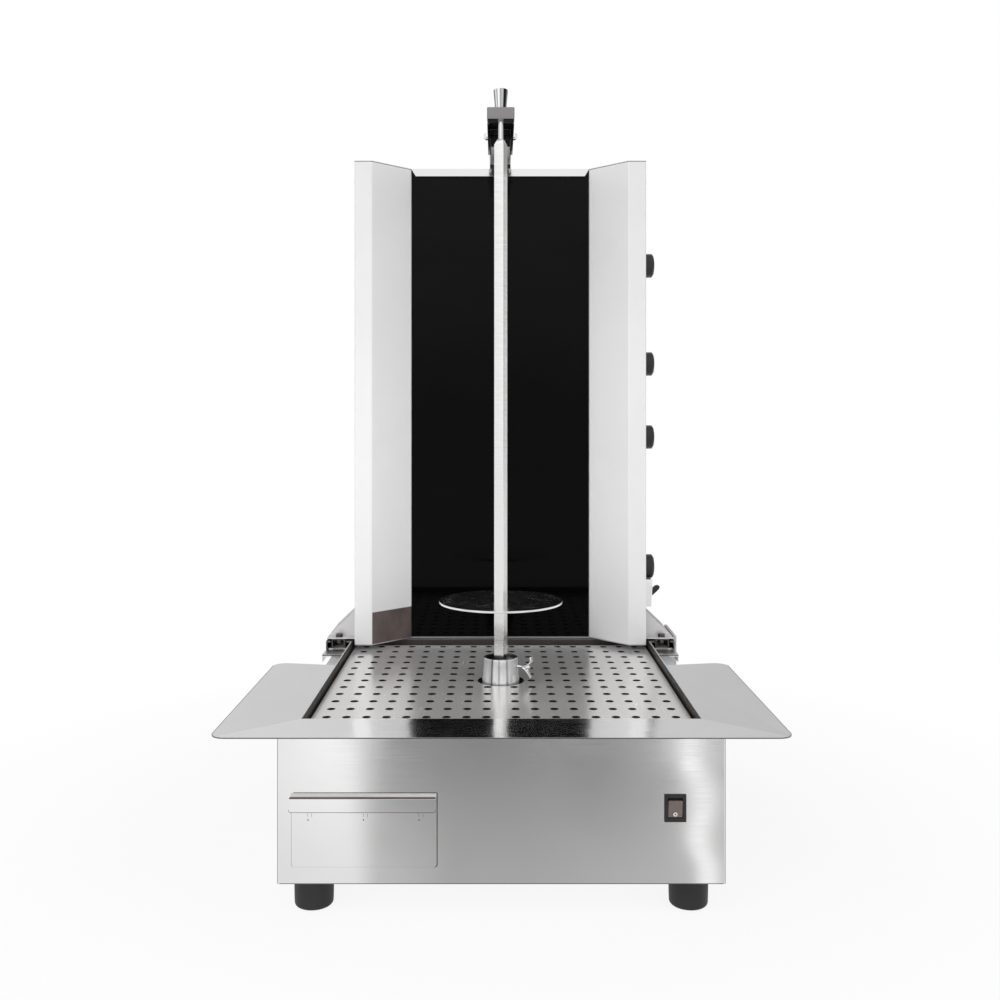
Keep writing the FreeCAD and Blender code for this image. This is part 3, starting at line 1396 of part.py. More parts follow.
def make_cross_bolt():
    """Bolt and cap nut that clamp the two channels."""
    profile = [
        ("0", "-arm_half - cross_head_tall"), ("cross_head / 4", "-arm_half - cross_head_tall"),
        ("cross_head / 2", "-arm_half - cross_head_tall / 2"), ("cross_head / 2", "-arm_half"),
        ("cross_bolt / 2", "-arm_half"), ("cross_bolt / 2", "arm_half"), ("cross_head / 2", "arm_half"),
        ("cross_head / 2", "arm_half + cross_head_tall / 2"),
        ("cross_head / 4", "arm_half + cross_head_tall"), ("0", "arm_half + cross_head_tall"),
    ]
    keep("cross_bolt", turned("cross_bolt", profile, ("0", "cross_y", "cross_z"), "x"))


def make_arm_pads():
    """Two dark strips between the inner channel's legs and the housing's top."""
    strips = []
    for side in (-1, 1):
        edge = f"{side} * (inner_half - pad_wide / 2) - pad_wide / 2"
        strips.append(block(("pad_wide", "pad_long", "pad_tall"),
                            (edge, "house_back - pad_inset - pad_long", "house_top")))
    keep("arm_pads", together(*strips))


def make_plunger_pin():
    keep("plunger_pin", rod("pin_wide / 2", "arm_top - bar_top + pin_depth + cone_tall / 2",
                            ("0", "spit_y", "bar_top - pin_depth")))


def make_plunger_knob():
    profile = [
        ("pin_wide / 2", "0"), ("cone_low / 2", "0"), ("cone_wide / 2", "cone_tall - cone_edge"),
        ("cone_wide / 2 - cone_edge", "cone_tall"), ("0", "cone_tall"),
        ("0", "cone_tall / 2"), ("pin_wide / 2", "cone_tall / 2"),
    ]
    keep("plunger_knob", turned("plunger_knob", profile, ("0", "spit_y", "arm_top")))


# --- Fasteners ---------------------------------------------------------------------------

def pan_head(at, along):
    """Screw with a domed head; its own Z points out of the sheet."""
    profile = [
        ("0", "-screw_shank"), ("screw_shank / 2", "-screw_shank"), ("screw_shank / 2", "0"),
        ("screw_head / 2", "0"), ("screw_head / 3", "screw_head_tall"), ("0", "screw_head_tall"),
    ]
    return turned("screw", profile, at, along)


def make_side_screws():
    screws = []
    for sign, along in (("-1", "-x"), ("1", "x")):
        screws += [pan_head((f"{sign} * housing_half", y, z), along) for y, z in screw_places()]
    keep("side_screws", together(*screws))


make_base_shell()
make_base_floor()
make_base_back()
make_feet()
make_foot_bolts()
make_drip_tray()
make_drain_spout()
make_perforated_plate()
make_drawer_front()
make_drawer_pan()
make_drawer_runners()
make_rocker_bezel()
make_power_rocker()
make_gear_motor()
make_motor_bracket()
make_bearing_flange()
make_drive_shaft()
make_spit_socket()
make_wing_screw()
make_spit_bar()
make_disc_stop()
make_meat_disc()
make_side_panel(-1, "left_side_panel")
make_side_panel(1, "right_side_panel")
make_top_cover()
make_housing_floor()
make_rear_cover()
make_glass_panel()
make_glass_retainers()
make_heater_pans()
make_heater_ribbons()
make_insulation_board()
make_regulators()
for number in (1, 2, 3, 4):
    make_knob(number)
make_switch_box()
make_switch_lever()
make_rail_shelves()
make_fixed_rails()
make_rail_carriages()
make_glide_strips()
make_gusset(-1, "left_gusset")
make_gusset(1, "right_gusset")
make_gusset_bolts()
make_cable_guard()
make_cable_gland()
make_arm_front_channel()
make_arm_rear_channel()
make_arm_block()
make_cross_bolt()
make_arm_pads()
make_plunger_pin()
make_plunger_knob()
make_side_screws()

# --- Check and write ---------------------------------------------------------------------

doc.recompute()
faults = [f"{item.Name} ({item.Label}): {item.State}" for item in doc.Objects
          if "Invalid" in item.State or "Error" in item.State]
for label, solid in NODES.items():
    if solid.Shape.isNull() or not solid.Shape.isValid() or not solid.Shape.Solids:
        faults.append(f"{label}: no valid shape")
if faults:
    raise RuntimeError("; ".join(faults))

os.makedirs("parts", exist_ok=True)
for label, solid in NODES.items():
    solid.Shape.exportStep(f"parts/{label}.step")
    print(f"{label}: {len(solid.Shape.Solids)} solid(s), {solid.Shape.Volume / 1000:.1f} cm3")
print(len(NODES), "sub-parts")
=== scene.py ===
# %% [markdown]
# # An electric skewer grill, dressed for a picture
#
# The grill is folded stainless sheet round a turning spit: a base with a grease drawer, a
# tray with sloping flanges, a perforated deck, and a heater housing with black glass
# between two bright shields.  The engineering model already has every piece in its place,
# so this lesson loads it, keeps what it says about places and joints, and gives each
# surface the form and the finish of the real thing.

# %% Load the frame
import json
import math

import bmesh
import bpy
from mathutils import Matrix, Vector

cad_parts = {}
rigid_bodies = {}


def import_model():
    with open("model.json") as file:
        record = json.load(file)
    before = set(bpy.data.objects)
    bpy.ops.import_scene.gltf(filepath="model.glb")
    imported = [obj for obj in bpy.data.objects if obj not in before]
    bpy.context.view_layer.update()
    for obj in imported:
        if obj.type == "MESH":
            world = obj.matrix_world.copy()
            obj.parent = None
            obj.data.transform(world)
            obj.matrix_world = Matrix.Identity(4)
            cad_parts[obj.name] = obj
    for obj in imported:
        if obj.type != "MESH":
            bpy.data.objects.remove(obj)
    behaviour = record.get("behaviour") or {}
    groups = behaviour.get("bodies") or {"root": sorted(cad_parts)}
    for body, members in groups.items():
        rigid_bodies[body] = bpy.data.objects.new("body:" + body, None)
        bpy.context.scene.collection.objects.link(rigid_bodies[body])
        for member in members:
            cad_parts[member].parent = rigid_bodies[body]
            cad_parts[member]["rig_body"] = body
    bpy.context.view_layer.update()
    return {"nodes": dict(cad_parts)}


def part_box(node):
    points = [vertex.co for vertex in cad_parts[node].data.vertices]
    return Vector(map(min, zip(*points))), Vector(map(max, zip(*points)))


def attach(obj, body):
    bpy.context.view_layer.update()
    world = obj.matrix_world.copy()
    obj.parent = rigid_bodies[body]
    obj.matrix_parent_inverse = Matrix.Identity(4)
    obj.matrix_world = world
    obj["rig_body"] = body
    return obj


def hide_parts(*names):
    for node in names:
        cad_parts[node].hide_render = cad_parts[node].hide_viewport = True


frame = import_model()

# %% [markdown]
# ## The camera
#
# The grill is seen from the front, at the height of the middle of its glass, with a level
# camera.  A level camera keeps upright edges upright, so the picture is moved with the
# lens's shift, and not by tilting: the deck shows from above while the glass stays square.

# %% Camera
MM = 0.001
EYE = Vector((-4.9 * MM, -1570.6 * MM, 615.4 * MM))

camera_data = bpy.data.cameras.new("camera")
camera_data.lens = 38.16
camera_data.sensor_width = 36
camera_data.shift_x = 0.0026
camera_data.shift_y = -0.0827
camera = bpy.data.objects.new("camera", camera_data)
camera.location = EYE
camera.rotation_euler = (math.radians(90), 0, 0)
bpy.context.scene.collection.objects.link(camera)
bpy.context.scene.camera = camera
bpy.context.scene.view_settings.view_transform = "Standard"
print("camera stands", round(-EYE.y, 2), "m in front of the origin")

# %% [markdown]
# ## Wiring a material
#
# A material is a small net of nodes.  The helpers below keep each net short to read: the
# first adds a node and joins its inputs, and the others make the few kinds that come up
# again and again.  Textures use the piece's own coordinates, which are the grill's, so a
# brushed line runs on across a whole sheet and turns with the piece when a joint moves it.

# %% Node helpers
def node(net, kind, settings=None, **inputs):
    """Add a node; an input is a plain value or another node's output.

    An input goes by its name, or by an underscore and its number.
    """
    made = net.nodes.new(kind)
    for name, setting in (settings or {}).items():
        setattr(made, name, setting)
    for name, given in inputs.items():
        place = int(name[1:]) if name[1:].isdigit() else name.replace("_", " ")
        socket = made.inputs[place]
        if isinstance(given, bpy.types.NodeSocket):
            net.links.new(given, socket)
        else:
            socket.default_value = given
    return made


def own_place(net, kind="Object"):
    """The piece's own coordinates in metres, as one node with outputs X, Y and Z."""
    place = node(net, "ShaderNodeTexCoord").outputs[kind]
    return node(net, "ShaderNodeSeparateXYZ", _0=place).outputs


def noise(net, scale, detail=2.0, distortion=0.0):
    """Soft noise in the piece's own coordinates, scaled apart along X, Y and Z."""
    place = node(net, "ShaderNodeTexCoord").outputs["Object"]
    place = node(net, "ShaderNodeMapping", Vector=place, Scale=scale).outputs[0]
    return node(net, "ShaderNodeTexNoise", Vector=place, Scale=1.0, Detail=detail,
                Distortion=distortion).outputs["Fac"]


def maths(net, operation, *values, clamp=False):
    """One sum on values or sockets."""
    inputs = {f"_{number}": value for number, value in enumerate(values)}
    return node(net, "ShaderNodeMath", {"operation": operation, "use_clamp": clamp},
                **inputs).outputs[0]


def spread(net, value, start, end, low=0.0, high=1.0):
    """Stretch start...end to low...high, and hold it there beyond the ends."""
    return node(net, "ShaderNodeMapRange", Value=value, From_Min=start, From_Max=end,
                To_Min=low, To_Max=high).outputs[0]


def mixed(net, blend, share, below, above):
    """Two colours mixed; each is a value or a socket, and so is the share."""
    return node(net, "ShaderNodeMix", {"data_type": "RGBA", "blend_type": blend}, _0=share,
                _6=below, _7=above).outputs[2]


def band(net, value, stops):
    """A colour ramp: stops are (position, colour or grey)."""
    ramp = node(net, "ShaderNodeValToRGB", Fac=value)
    points = ramp.color_ramp.elements
    while len(points) < len(stops):
        points.new(0.5)
    for point, (position, colour) in zip(points, stops):
        point.position = position
        point.color = (*colour, 1) if isinstance(colour, tuple) else (colour, colour, colour, 1)
    return ramp.outputs["Color"]


def round_band(net, x, ahead, stops):
    """A grey band round an upright axis: stops are (degrees from the front, grey)."""
    turn = spread(net, maths(net, "ARCTAN2", x, ahead), -math.pi, math.pi)
    return band(net, turn, [((degrees + 180) / 360, level) for degrees, level in stops])


FINISHES = {}


def blank(name):
    """An empty material and its net."""
    finish = bpy.data.materials.new(name)
    finish.use_nodes = True
    finish.node_tree.nodes.clear()
    return finish, finish.node_tree


def fresh(name):
    """A new finish with a Principled shader: its net and that shader."""
    FINISHES[name], net = blank(name)
    shader = node(net, "ShaderNodeBsdfPrincipled")
    net.links.new(shader.outputs[0], node(net, "ShaderNodeOutputMaterial").inputs[0])
    return net, shader


print("helpers ready")

# %% [markdown]
# ## Stainless sheet
#
# Stainless sheet is never one grey.  The mill's brush leaves fine lines in one direction,
# the sheet buckles a little between its folds, and hands and cleaning cloths leave soft
# clouds.  One could paint lines into the colour, but then they stay when the light moves.
# Here the lines vary the roughness and lift the surface by up to two hundredths of a
# millimetre, and a slow swell of a few tenths bends the reflections, as in a real sheet.

# %% Steel finishes
def steel(name, tint, rough, lines, swell=0.0, cloud=0.05, relief=0.35, metal=1.0):
    """Metal with brushed lines along one axis; lines is the stretch of that texture."""
    net, shader = fresh(name)
    shader.inputs["Metallic"].default_value = metal
    fine = noise(net, lines, 3.0)
    soft = noise(net, (9, 9, 9), 3.0, 0.6)
    grain = spread(net, fine, 0.3, 0.7, *rough)
    wiped = spread(net, soft, 0.35, 0.7, 0.0, cloud)
    net.links.new(maths(net, "ADD", grain, wiped, clamp=True), shader.inputs["Roughness"])
    shade = band(net, soft, [(0.3, tuple(c * 0.965 for c in tint)), (0.7, tint)])
    net.links.new(shade, shader.inputs["Base Color"])
    bump = node(net, "ShaderNodeBump", Strength=relief, Distance=0.00002, Height=fine)
    if swell:
        slow = noise(net, (5.5, 5.5, 5.5), 1.0, 0.4)
        bump = node(net, "ShaderNodeBump", Strength=1.0, Distance=swell, Height=slow,
                    Normal=bump.outputs[0])
    net.links.new(bump.outputs[0], shader.inputs["Normal"])


steel("brushed_sheet", (0.83, 0.825, 0.825), (0.12, 0.18), (14, 14, 1500), swell=0.0008,
      relief=0.15)
steel("polished_sheet", (0.84, 0.84, 0.845), (0.04, 0.09), (900, 900, 14), swell=0.00035)
for name in ("satin_sheet", "left_shield"):
    steel(name, (0.97, 0.97, 0.975), (0.34, 0.44), (900, 900, 14), swell=0.0002, metal=0.4)
steel("satin_grey", (0.66, 0.65, 0.65), (0.36, 0.46), (300, 300, 30), metal=0.5)
steel("pale_zinc", (0.52, 0.515, 0.51), (0.36, 0.46), (60, 60, 60), metal=0.4)
steel("tray_sheet", (0.80, 0.797, 0.80), (0.07, 0.15), (700, 20, 20), swell=0.0005, cloud=0.08)
steel("flange_sheet", (0.90, 0.897, 0.90), (0.10, 0.18), (20, 400, 20), swell=0.0003, cloud=0.06,
      relief=0.12)
steel("deck_sheet", (0.80, 0.785, 0.775), (0.16, 0.24), (420, 26, 26), swell=0.0004, cloud=0.05,
      metal=0.5)
steel("bright_bar", (0.80, 0.795, 0.79), (0.10, 0.24), (60, 60, 420), cloud=0.06)
steel("chrome", (0.86, 0.86, 0.865), (0.03, 0.08), (50, 50, 300))
steel("grey_steel", (0.27, 0.262, 0.26), (0.28, 0.42), (120, 120, 120), cloud=0.1)
steel("shade_sheet", (0.17, 0.13, 0.115), (0.3, 0.45), (14, 14, 900), cloud=0.1)
# The lip's top is painted in bands from the back: this pale finish as painted light, then
# shade_sheet as painted shade, then the dark line at its edge.
steel("lip_top", (0.90, 0.89, 0.88), (0.4, 0.5), (14, 900, 900), cloud=0.1, metal=0.25)
# A near-black line: a painted reflection on the outer half of the base's upright folds, and painted
# shade at the drawer lip's edge, in the gaps round the drawer front and along the base's lower
# edge.
steel("gap_line", (0.035, 0.027, 0.025), (0.5, 0.6), (90, 90, 90), cloud=0.1, metal=0.3)
steel("dark_zinc", (0.10, 0.092, 0.09), (0.26, 0.42), (60, 60, 60), cloud=0.12)
steel("zinc_sheet", (0.70, 0.71, 0.72), (0.26, 0.42), (60, 60, 60), cloud=0.12)
# The tray's well is painted dark as shade, and cut edges are painted near black, darker than cut
# steel, as a painted shade line.
steel("well_steel", (0.16, 0.145, 0.135), (0.35, 0.6), (120, 120, 120), cloud=0.1)
steel("cut_edge", (0.11, 0.096, 0.09), (0.30, 0.5), (400, 400, 60), cloud=0.1)
steel("heater_ribbon", (0.30, 0.27, 0.26), (0.4, 0.6), (300, 300, 900), cloud=0.1)
print(len(FINISHES), "metals")

# %% [markdown]
# ## Shield tones, a painted reflection and painted streaks
#
# Three things lie on top of a finish.  The shields are darker towards the top, and darker
# outside the fold between the flat strip and the slant.  The foot of the left shield's slant
# is painted with a dark brownish reflection of the tray's well below it.  And a part that was
# turned on a lathe is painted with streaks along its axis, a dark and a bright one side by
# side: painted reflections, like those a mirror as small as that picks from the whole room.
# All three are colours laid over the sheet's own colour.

# %% Shield tones, painted reflection and painted streaks
def overlay(name, blend, share, colour):
    """Lay a colour over a finish's own colour; share and colour are values or sockets."""
    net = FINISHES[name].node_tree
    shader = [n for n in net.nodes if n.type == "BSDF_PRINCIPLED"][0]
    own = shader.inputs["Base Color"].links[0].from_socket
    net.links.new(mixed(net, blend, share, own, colour), shader.inputs["Base Color"])


# The shields' colour is made darker towards the top, and outside the fold beside the slant.
for name in ("satin_sheet", "left_shield"):
    net = FINISHES[name].node_tree
    spot = own_place(net)
    top_share = spread(net, spot["Z"], 0.25, 1.0)
    overlay(name, "MULTIPLY", 1.0, band(net, top_share, [(0.0, 1.0), (0.5, 0.95), (1.0, 0.88)]))
    rim = spread(net, maths(net, "ABSOLUTE", spot["X"]), 0.2115, 0.2135)
    overlay(name, "MULTIPLY", 1.0, band(net, rim, [(0.0, 1.0), (1.0, 0.86)]))

# The foot of the left shield's slant is painted dark and brownish in soft noise: a painted
# reflection of the tray's well below it.
net = FINISHES["left_shield"].node_tree
spot = own_place(net)
low = spread(net, spot["Z"], 0.2925, 0.2915)
slant = spread(net, spot["X"], -0.2130, -0.2115)
painted_well_reflection = band(net, noise(net, (30, 30, 18), 3.0),
           [(0.35, (0.115, 0.088, 0.08)), (0.65, (0.18, 0.15, 0.14))])
overlay("left_shield", "MIX", maths(net, "MULTIPLY", low, slant), painted_well_reflection)

SPIT_Y = -0.018  # the spit's axis, and its x is 0
# Painted reflections: a grey band round each turned part's axis darkens its colour in streaks.
PAINTED_STREAKS = {  # degrees round from the front, and how much of the light comes back
    "turned_socket": [(-90, 0.2), (-74, 0.5), (-60, 0.8), (-34, 0.75), (-29, 0.08), (-23, 0.9),
                      (-10, 1.0), (-6, 0.45), (-1, 1.0), (14, 1.0), (20, 0.4), (27, 1.0),
                      (45, 0.8), (66, 0.7), (80, 0.45), (90, 0.2)],
    "turned_knob": [(-90, 0.06), (-68, 0.1), (-61, 1.0), (-18, 1.0), (-5, 0.75), (1, 0.12),
                    (6, 0.7), (21, 0.6), (27, 0.03), (54, 0.03), (61, 0.9), (70, 0.7),
                    (78, 0.08), (90, 0.06)]}
for name, stops in PAINTED_STREAKS.items():
    steel(name, (0.90, 0.90, 0.905), (0.10, 0.17), (50, 50, 300),
          metal=0.55 if name == "turned_socket" else 1.0)
    net = FINISHES[name].node_tree
    spot = own_place(net)
    ahead = maths(net, "MULTIPLY_ADD", spot["Y"], -1.0, SPIT_Y)
    overlay(name, "MULTIPLY", 1.0, round_band(net, spot["X"], ahead, stops))
# The one stain counted here is the painted reflection on the left shield.
print("haze, one stain and", len(PAINTED_STREAKS), "turned finishes")

# %% [markdown]
# ## Glass, plastic, rubber and board
#
# What isn't steel is plain by comparison, but none of it is one flat colour.  Moulded
# plastic has a fine spark-eroded grain, rubber is mottled and a little dusty, the heaters'
# board is felted fibre, and the glass is a black ceramic sheet that reflects little until
# it is seen at a slant; its colour is painted lighter towards the top, a painted sheen.
# Each finish below is a colour band, a roughness and a bump; the glass has no bump.

# %% Finishes that aren't steel
def moulded(name, dark, light, rough, grain, depth, gloss=0.5, mottle=18):
    """Two shades mixed in soft clouds, with a fine grain that lifts the surface."""
    net, shader = fresh(name)
    fine = noise(net, (grain,) * 3, 2.0)
    soft = noise(net, (mottle,) * 3, 3.0)
    net.links.new(band(net, soft, [(0.35, dark), (0.7, light)]), shader.inputs["Base Color"])
    net.links.new(spread(net, soft, 0.3, 0.7, *rough), shader.inputs["Roughness"])
    bump = node(net, "ShaderNodeBump", Strength=0.5, Distance=depth, Height=fine)
    net.links.new(bump.outputs[0], shader.inputs["Normal"])
    shader.inputs["Specular IOR Level"].default_value = gloss


moulded("black_plastic", (0.011, 0.011, 0.012), (0.018, 0.018, 0.018), (0.28, 0.42), 1900,
        0.00003, 0.4)
moulded("rocker_plastic", (0.125, 0.098, 0.09), (0.15, 0.118, 0.108), (0.2, 0.3), 1500,
        0.00001, 0.4, 60)
moulded("black_rubber", (0.012, 0.012, 0.012), (0.022, 0.021, 0.020), (0.5, 0.68), 1100,
        0.00006, 0.35)
moulded("motor_paint", (0.05, 0.055, 0.06), (0.075, 0.08, 0.085), (0.3, 0.42), 260, 0.0003)
# Near black for painted shade: in the deck's holes, inside the socket and the arm, on the cross
# bolt's shank and on the rails.
moulded("painted_shade", (0.006, 0.0058, 0.006), (0.012, 0.0115, 0.0115), (0.4, 0.6), 700,
        0.00003, 0.02)
moulded("fibre_board", (0.55, 0.52, 0.46), (0.70, 0.68, 0.62), (0.8, 0.95), 420, 0.0005, 0.2, 40)
moulded("glide_plastic", (0.70, 0.69, 0.65), (0.78, 0.77, 0.73), (0.35, 0.45), 900, 0.00002, 0.4)
moulded("mark_paint", (0.62, 0.62, 0.61), (0.74, 0.74, 0.73), (0.4, 0.5), 1500, 0.00001, 0.4, 200)

net, shader = fresh("black_glass")
# The glass's colour is painted lighter towards the top, in soft clouds: a painted sheen.
painted_sheen_rise = spread(net, own_place(net)["Z"], 0.24, 1.04)
cloud = maths(net, "MULTIPLY_ADD", noise(net, (4, 4, 7), 3.0, 1.5), 0.25, -0.125)
shade = band(net, maths(net, "ADD", painted_sheen_rise, cloud, clamp=True),
             [(0.0, 0.0012), (0.5, 0.0014), (0.75, 0.0038), (1.0, 0.0062)])
net.links.new(shade, shader.inputs["Base Color"])
smear = spread(net, noise(net, (60, 60, 9), 3.0, 0.5), 0.35, 0.75, 0.02, 0.07)
net.links.new(smear, shader.inputs["Roughness"])
shader.inputs["Specular IOR Level"].default_value = 0.055
print(len(FINISHES), "finishes in all")

# %% [markdown]
# ## Which node wears which finish
#
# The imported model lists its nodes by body.  Most of them have the right shape already and
# only need their finish, so one table gives it.  Later cells replace some nodes with a
# finer form, and each of those takes its finish from the same table.

# %% Finishes by node
WEARS = {
    "brushed_sheet": "base_shell drawer_front",
    "tray_sheet": "drip_tray",
    "deck_sheet": "perforated_plate",
    "grey_steel": "arm_block arm_rear_channel",
    "dark_zinc": "rail_carriages gusset_bolts",
    "left_shield": "left_side_panel",
    "satin_sheet": "right_side_panel",
    "satin_grey": "left_gusset right_gusset",
    "polished_sheet": "top_cover rear_cover switch_box arm_front_channel",
    "bright_bar": "drive_shaft spit_bar disc_stop meat_disc",
    "turned_socket": "spit_socket",
    "turned_knob": "plunger_knob",
    "chrome": "wing_screw cross_bolt plunger_pin side_screws",
    "pale_zinc": "cable_guard",
    "zinc_sheet": "base_floor base_back foot_bolts drain_spout drawer_pan drawer_runners "
                  "motor_bracket bearing_flange rail_shelves fixed_rails housing_floor "
                  "glass_retainers heater_pans",
    "black_glass": "glass_panel",
    "black_plastic": "rocker_bezel cable_gland regulators knob_1 knob_2 knob_3 knob_4 "
                     "switch_lever",
    "rocker_plastic": "power_rocker",
    "black_rubber": "feet arm_pads",
    "motor_paint": "gear_motor",
    "fibre_board": "insulation_board",
    "heater_ribbon": "heater_ribbons",
    "glide_plastic": "glide_strips"}
VARIETIES = {  # a finish of the record, and the ones here that count as it
    "polished_sheet": "tray_sheet deck_sheet well_steel cut_edge left_shield satin_sheet "
                      "satin_grey grey_steel flange_sheet",
    "brushed_sheet": "shade_sheet gap_line lip_top",
    "bright_bar": "chrome turned_socket turned_knob",
    "zinc_sheet": "pale_zinc dark_zinc",
    "rocker_plastic": "mark_paint"}


def turned_round(table):
    """Each name of a table's rows, with its row's key."""
    return {name: key for key, names in table.items() for name in names.split()}


FINISH_OF, SLOT_OF = turned_round(WEARS), turned_round(VARIETIES)
BODY_OF = {name: thing["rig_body"] for name, thing in frame["nodes"].items()}

for name, thing in frame["nodes"].items():
    thing.data.materials.clear()
    thing.data.materials.append(FINISHES[FINISH_OF[name]])
print(len(frame["nodes"]), "nodes dressed; missing:", sorted(set(frame["nodes"]) - set(FINISH_OF)))

# %% [markdown]
# ## The studio
#
# A grill like this is shown in white surroundings, because steel shows nothing but what
# stands round it.  The world below is plain white to the camera.  For what the metal
# mirrors it is a ring of pale walls with a few darker gaps at the sides, which give a round
# part its dark streaks.  The light on dull surfaces stays at a plain level, from the world
# and three large soft lamps, the lowest of which lifts the feet of the shields.

# %% World and lamps
# The socket and the plunger knob also carry painted streaks in their finishes.
WALLS = [  # degrees round from the front, and how bright the wall is there
    (-180, 0.66), (-166, 0.72), (-148, 0.62), (-134, 0.42), (-106, 0.42), (-98, 0.95),
    (-80, 0.95), (-73, 0.32), (-62, 0.32), (-55, 0.85), (-46, 1.22), (-34, 1.2), (-20, 1.0),
    (20, 1.0), (34, 0.96), (46, 0.80), (56, 0.60), (63, 0.26), (73, 0.26), (80, 0.92),
    (98, 0.92), (106, 0.34), (134, 0.38), (150, 0.50), (168, 0.61), (180, 0.68)]

world = bpy.data.worlds.new("studio")
bpy.context.scene.world = world
world.use_nodes = True
sky = world.node_tree
sky.nodes.clear()
way = own_place(sky, "Generated")
walls = round_band(sky, way["X"], maths(sky, "MULTIPLY", way["Y"], -1.0), WALLS)
height = band(sky, way["Z"], [(0.0, 0.94), (0.26, 1.0), (0.40, 1.14), (0.75, 1.3)])
room_colour = mixed(sky, "MULTIPLY", 1.0, walls, height)
ray = node(sky, "ShaderNodeLightPath").outputs
mirrored = maths(sky, "MAXIMUM", ray["Is Glossy Ray"], ray["Is Transmission Ray"])
plain = node(sky, "ShaderNodeBackground", Color=(1, 1, 1, 1), Strength=0.56)
seen = node(sky, "ShaderNodeBackground", Color=room_colour, Strength=1.0)
clean = node(sky, "ShaderNodeBackground", Color=(1, 1, 1, 1), Strength=1.0)
first = node(sky, "ShaderNodeMixShader", _0=mirrored, _1=plain.outputs[0], _2=seen.outputs[0])
both = node(sky, "ShaderNodeMixShader", _0=ray["Is Camera Ray"], _1=first.outputs[0],
            _2=clean.outputs[0])
sky.links.new(both.outputs[0], node(sky, "ShaderNodeOutputWorld").inputs[0])


def lamp(name, spot, aim, size, power):
    """A square soft lamp that shines at a point."""
    data = bpy.data.lights.new(name, "AREA")
    data.size = size
    data.energy = power
    thing = bpy.data.objects.new(name, data)
    thing.location = spot
    thing.rotation_euler = (Vector(aim) - Vector(spot)).to_track_quat("-Z", "Y").to_euler()
    thing.visible_glossy = thing.visible_camera = False
    bpy.context.scene.collection.objects.link(thing)


lamp("key_lamp", (-1.7, -2.1, 2.5), (0, 0, 0.5), 1.8, 26)
lamp("fill_lamp", (2.0, -1.7, 1.6), (0, 0, 0.5), 1.8, 16)
lamp("low_lamp", (-0.35, -1.45, 0.45), (0, 0.2, 0.4), 1.0, 9)
print("world and", len(bpy.data.lights), "lamps")

# %% [markdown]
# ## Floor and card
#
# The floor is pale and keeps the grill's soft shadow near it, and further out it fades to
# the white of the background, so no horizon shows.  The base's front leans on this floor
# for its reflection.  A card lies in front of the grill, seen only by what mirrors it.  One
# is laid down in a studio so that a flat steel front doesn't burn out.  It is printed in
# bands that run towards the camera: white, grey, and a white streak near the right end,
# which wanders a little, as it would in a sheet that isn't quite flat.

# %% Floor and card
def stage_sheet(name, corners, finish):
    """A flat sheet that belongs to the studio and not to the grill."""
    form = bmesh.new()
    form.faces.new([form.verts.new(corner) for corner in corners])
    mesh = bpy.data.meshes.new(name)
    form.to_mesh(mesh)
    form.free()
    mesh.materials.append(finish)
    thing = bpy.data.objects.new(name, mesh)
    bpy.context.scene.collection.objects.link(thing)
    return thing


floor_finish, net = blank("studio_floor")
dull = node(net, "ShaderNodeBsdfDiffuse", Color=(0.84, 0.84, 0.845, 1))
glow = node(net, "ShaderNodeEmission", Color=(1, 1, 1, 1), Strength=1.0)
ray = node(net, "ShaderNodeLightPath").outputs
spot = node(net, "ShaderNodeTexCoord").outputs["Object"]
reach = node(net, "ShaderNodeVectorMath", {"operation": "LENGTH"}, _0=spot).outputs["Value"]
mirrored = maths(net, "MAXIMUM", ray["Is Glossy Ray"], ray["Is Camera Ray"])
fade = maths(net, "MULTIPLY", spread(net, reach, 0.42, 1.1, 0.86, 1.0), mirrored)
mix = node(net, "ShaderNodeMixShader", _0=fade, _1=dull.outputs[0], _2=glow.outputs[0])
net.links.new(mix.outputs[0], node(net, "ShaderNodeOutputMaterial").inputs[0])
WIDE = 9.0
stage_sheet("floor", [(-WIDE, -WIDE, 0), (WIDE, -WIDE, 0), (WIDE, WIDE, 0), (-WIDE, WIDE, 0)],
            floor_finish)

# A line of sight that the front sends back to the card has spread twice as far sideways when
# it is under the camera, so a streak that looks upright in the front fans out on the card.
# Each tone of NEAR and FAR, at the card's two ends, belongs to its column in STEPS.
WANDER = [  # from the grill outwards: the streak's shift to the right, in parts of the most
    (0.0, 0.84), (0.06, 0.84), (0.16, 0.48), (0.27, 0.36), (0.43, 0.68), (0.57, 0.68),
    (0.68, 0.48), (0.81, 0.04), (1.0, 0.0)]
WANDER_MOST = 0.025
HALF = 0.3
STEPS = (-0.300, -0.178, -0.152, -0.060, 0.030, 0.120, 0.214, 0.226, 0.238, 0.254)
FAR = (0.92, 1.25, 0.32, 0.27, 0.265, 0.28, 0.40, 2.00, 1.30, 0.42)
NEAR = (0.87, 0.93, 0.62, 0.46, 0.45, 0.49, 0.56, 1.10, 1.12, 0.60)

card_finish, net = blank("grey_card")
spot = own_place(net)
away = spread(net, spot["Y"], -0.395, -0.935)
column = maths(net, "DIVIDE", spot["X"], spread(net, spot["Y"], -0.272, EYE.y, 1.0, 2.0))
right = spread(net, column, 0.04, 0.18, 0.0, -WANDER_MOST)
column = maths(net, "MULTIPLY_ADD", band(net, away, WANDER), right, column)
column = spread(net, column, -HALF, HALF)
tones = [band(net, column, [((x + HALF) / (2 * HALF), tone) for x, tone in zip(STEPS, row)])
         for row in (NEAR, FAR)]
glow = node(net, "ShaderNodeEmission", Color=mixed(net, "MIX", away, *tones), Strength=1.0)
net.links.new(glow.outputs[0], node(net, "ShaderNodeOutputMaterial").inputs[0])
card = stage_sheet("card", [(-0.31, -0.29, 0.001), (-0.58, -1.5, 0.001), (0.58, -1.5, 0.001),
                            (0.31, -0.29, 0.001)], card_finish)
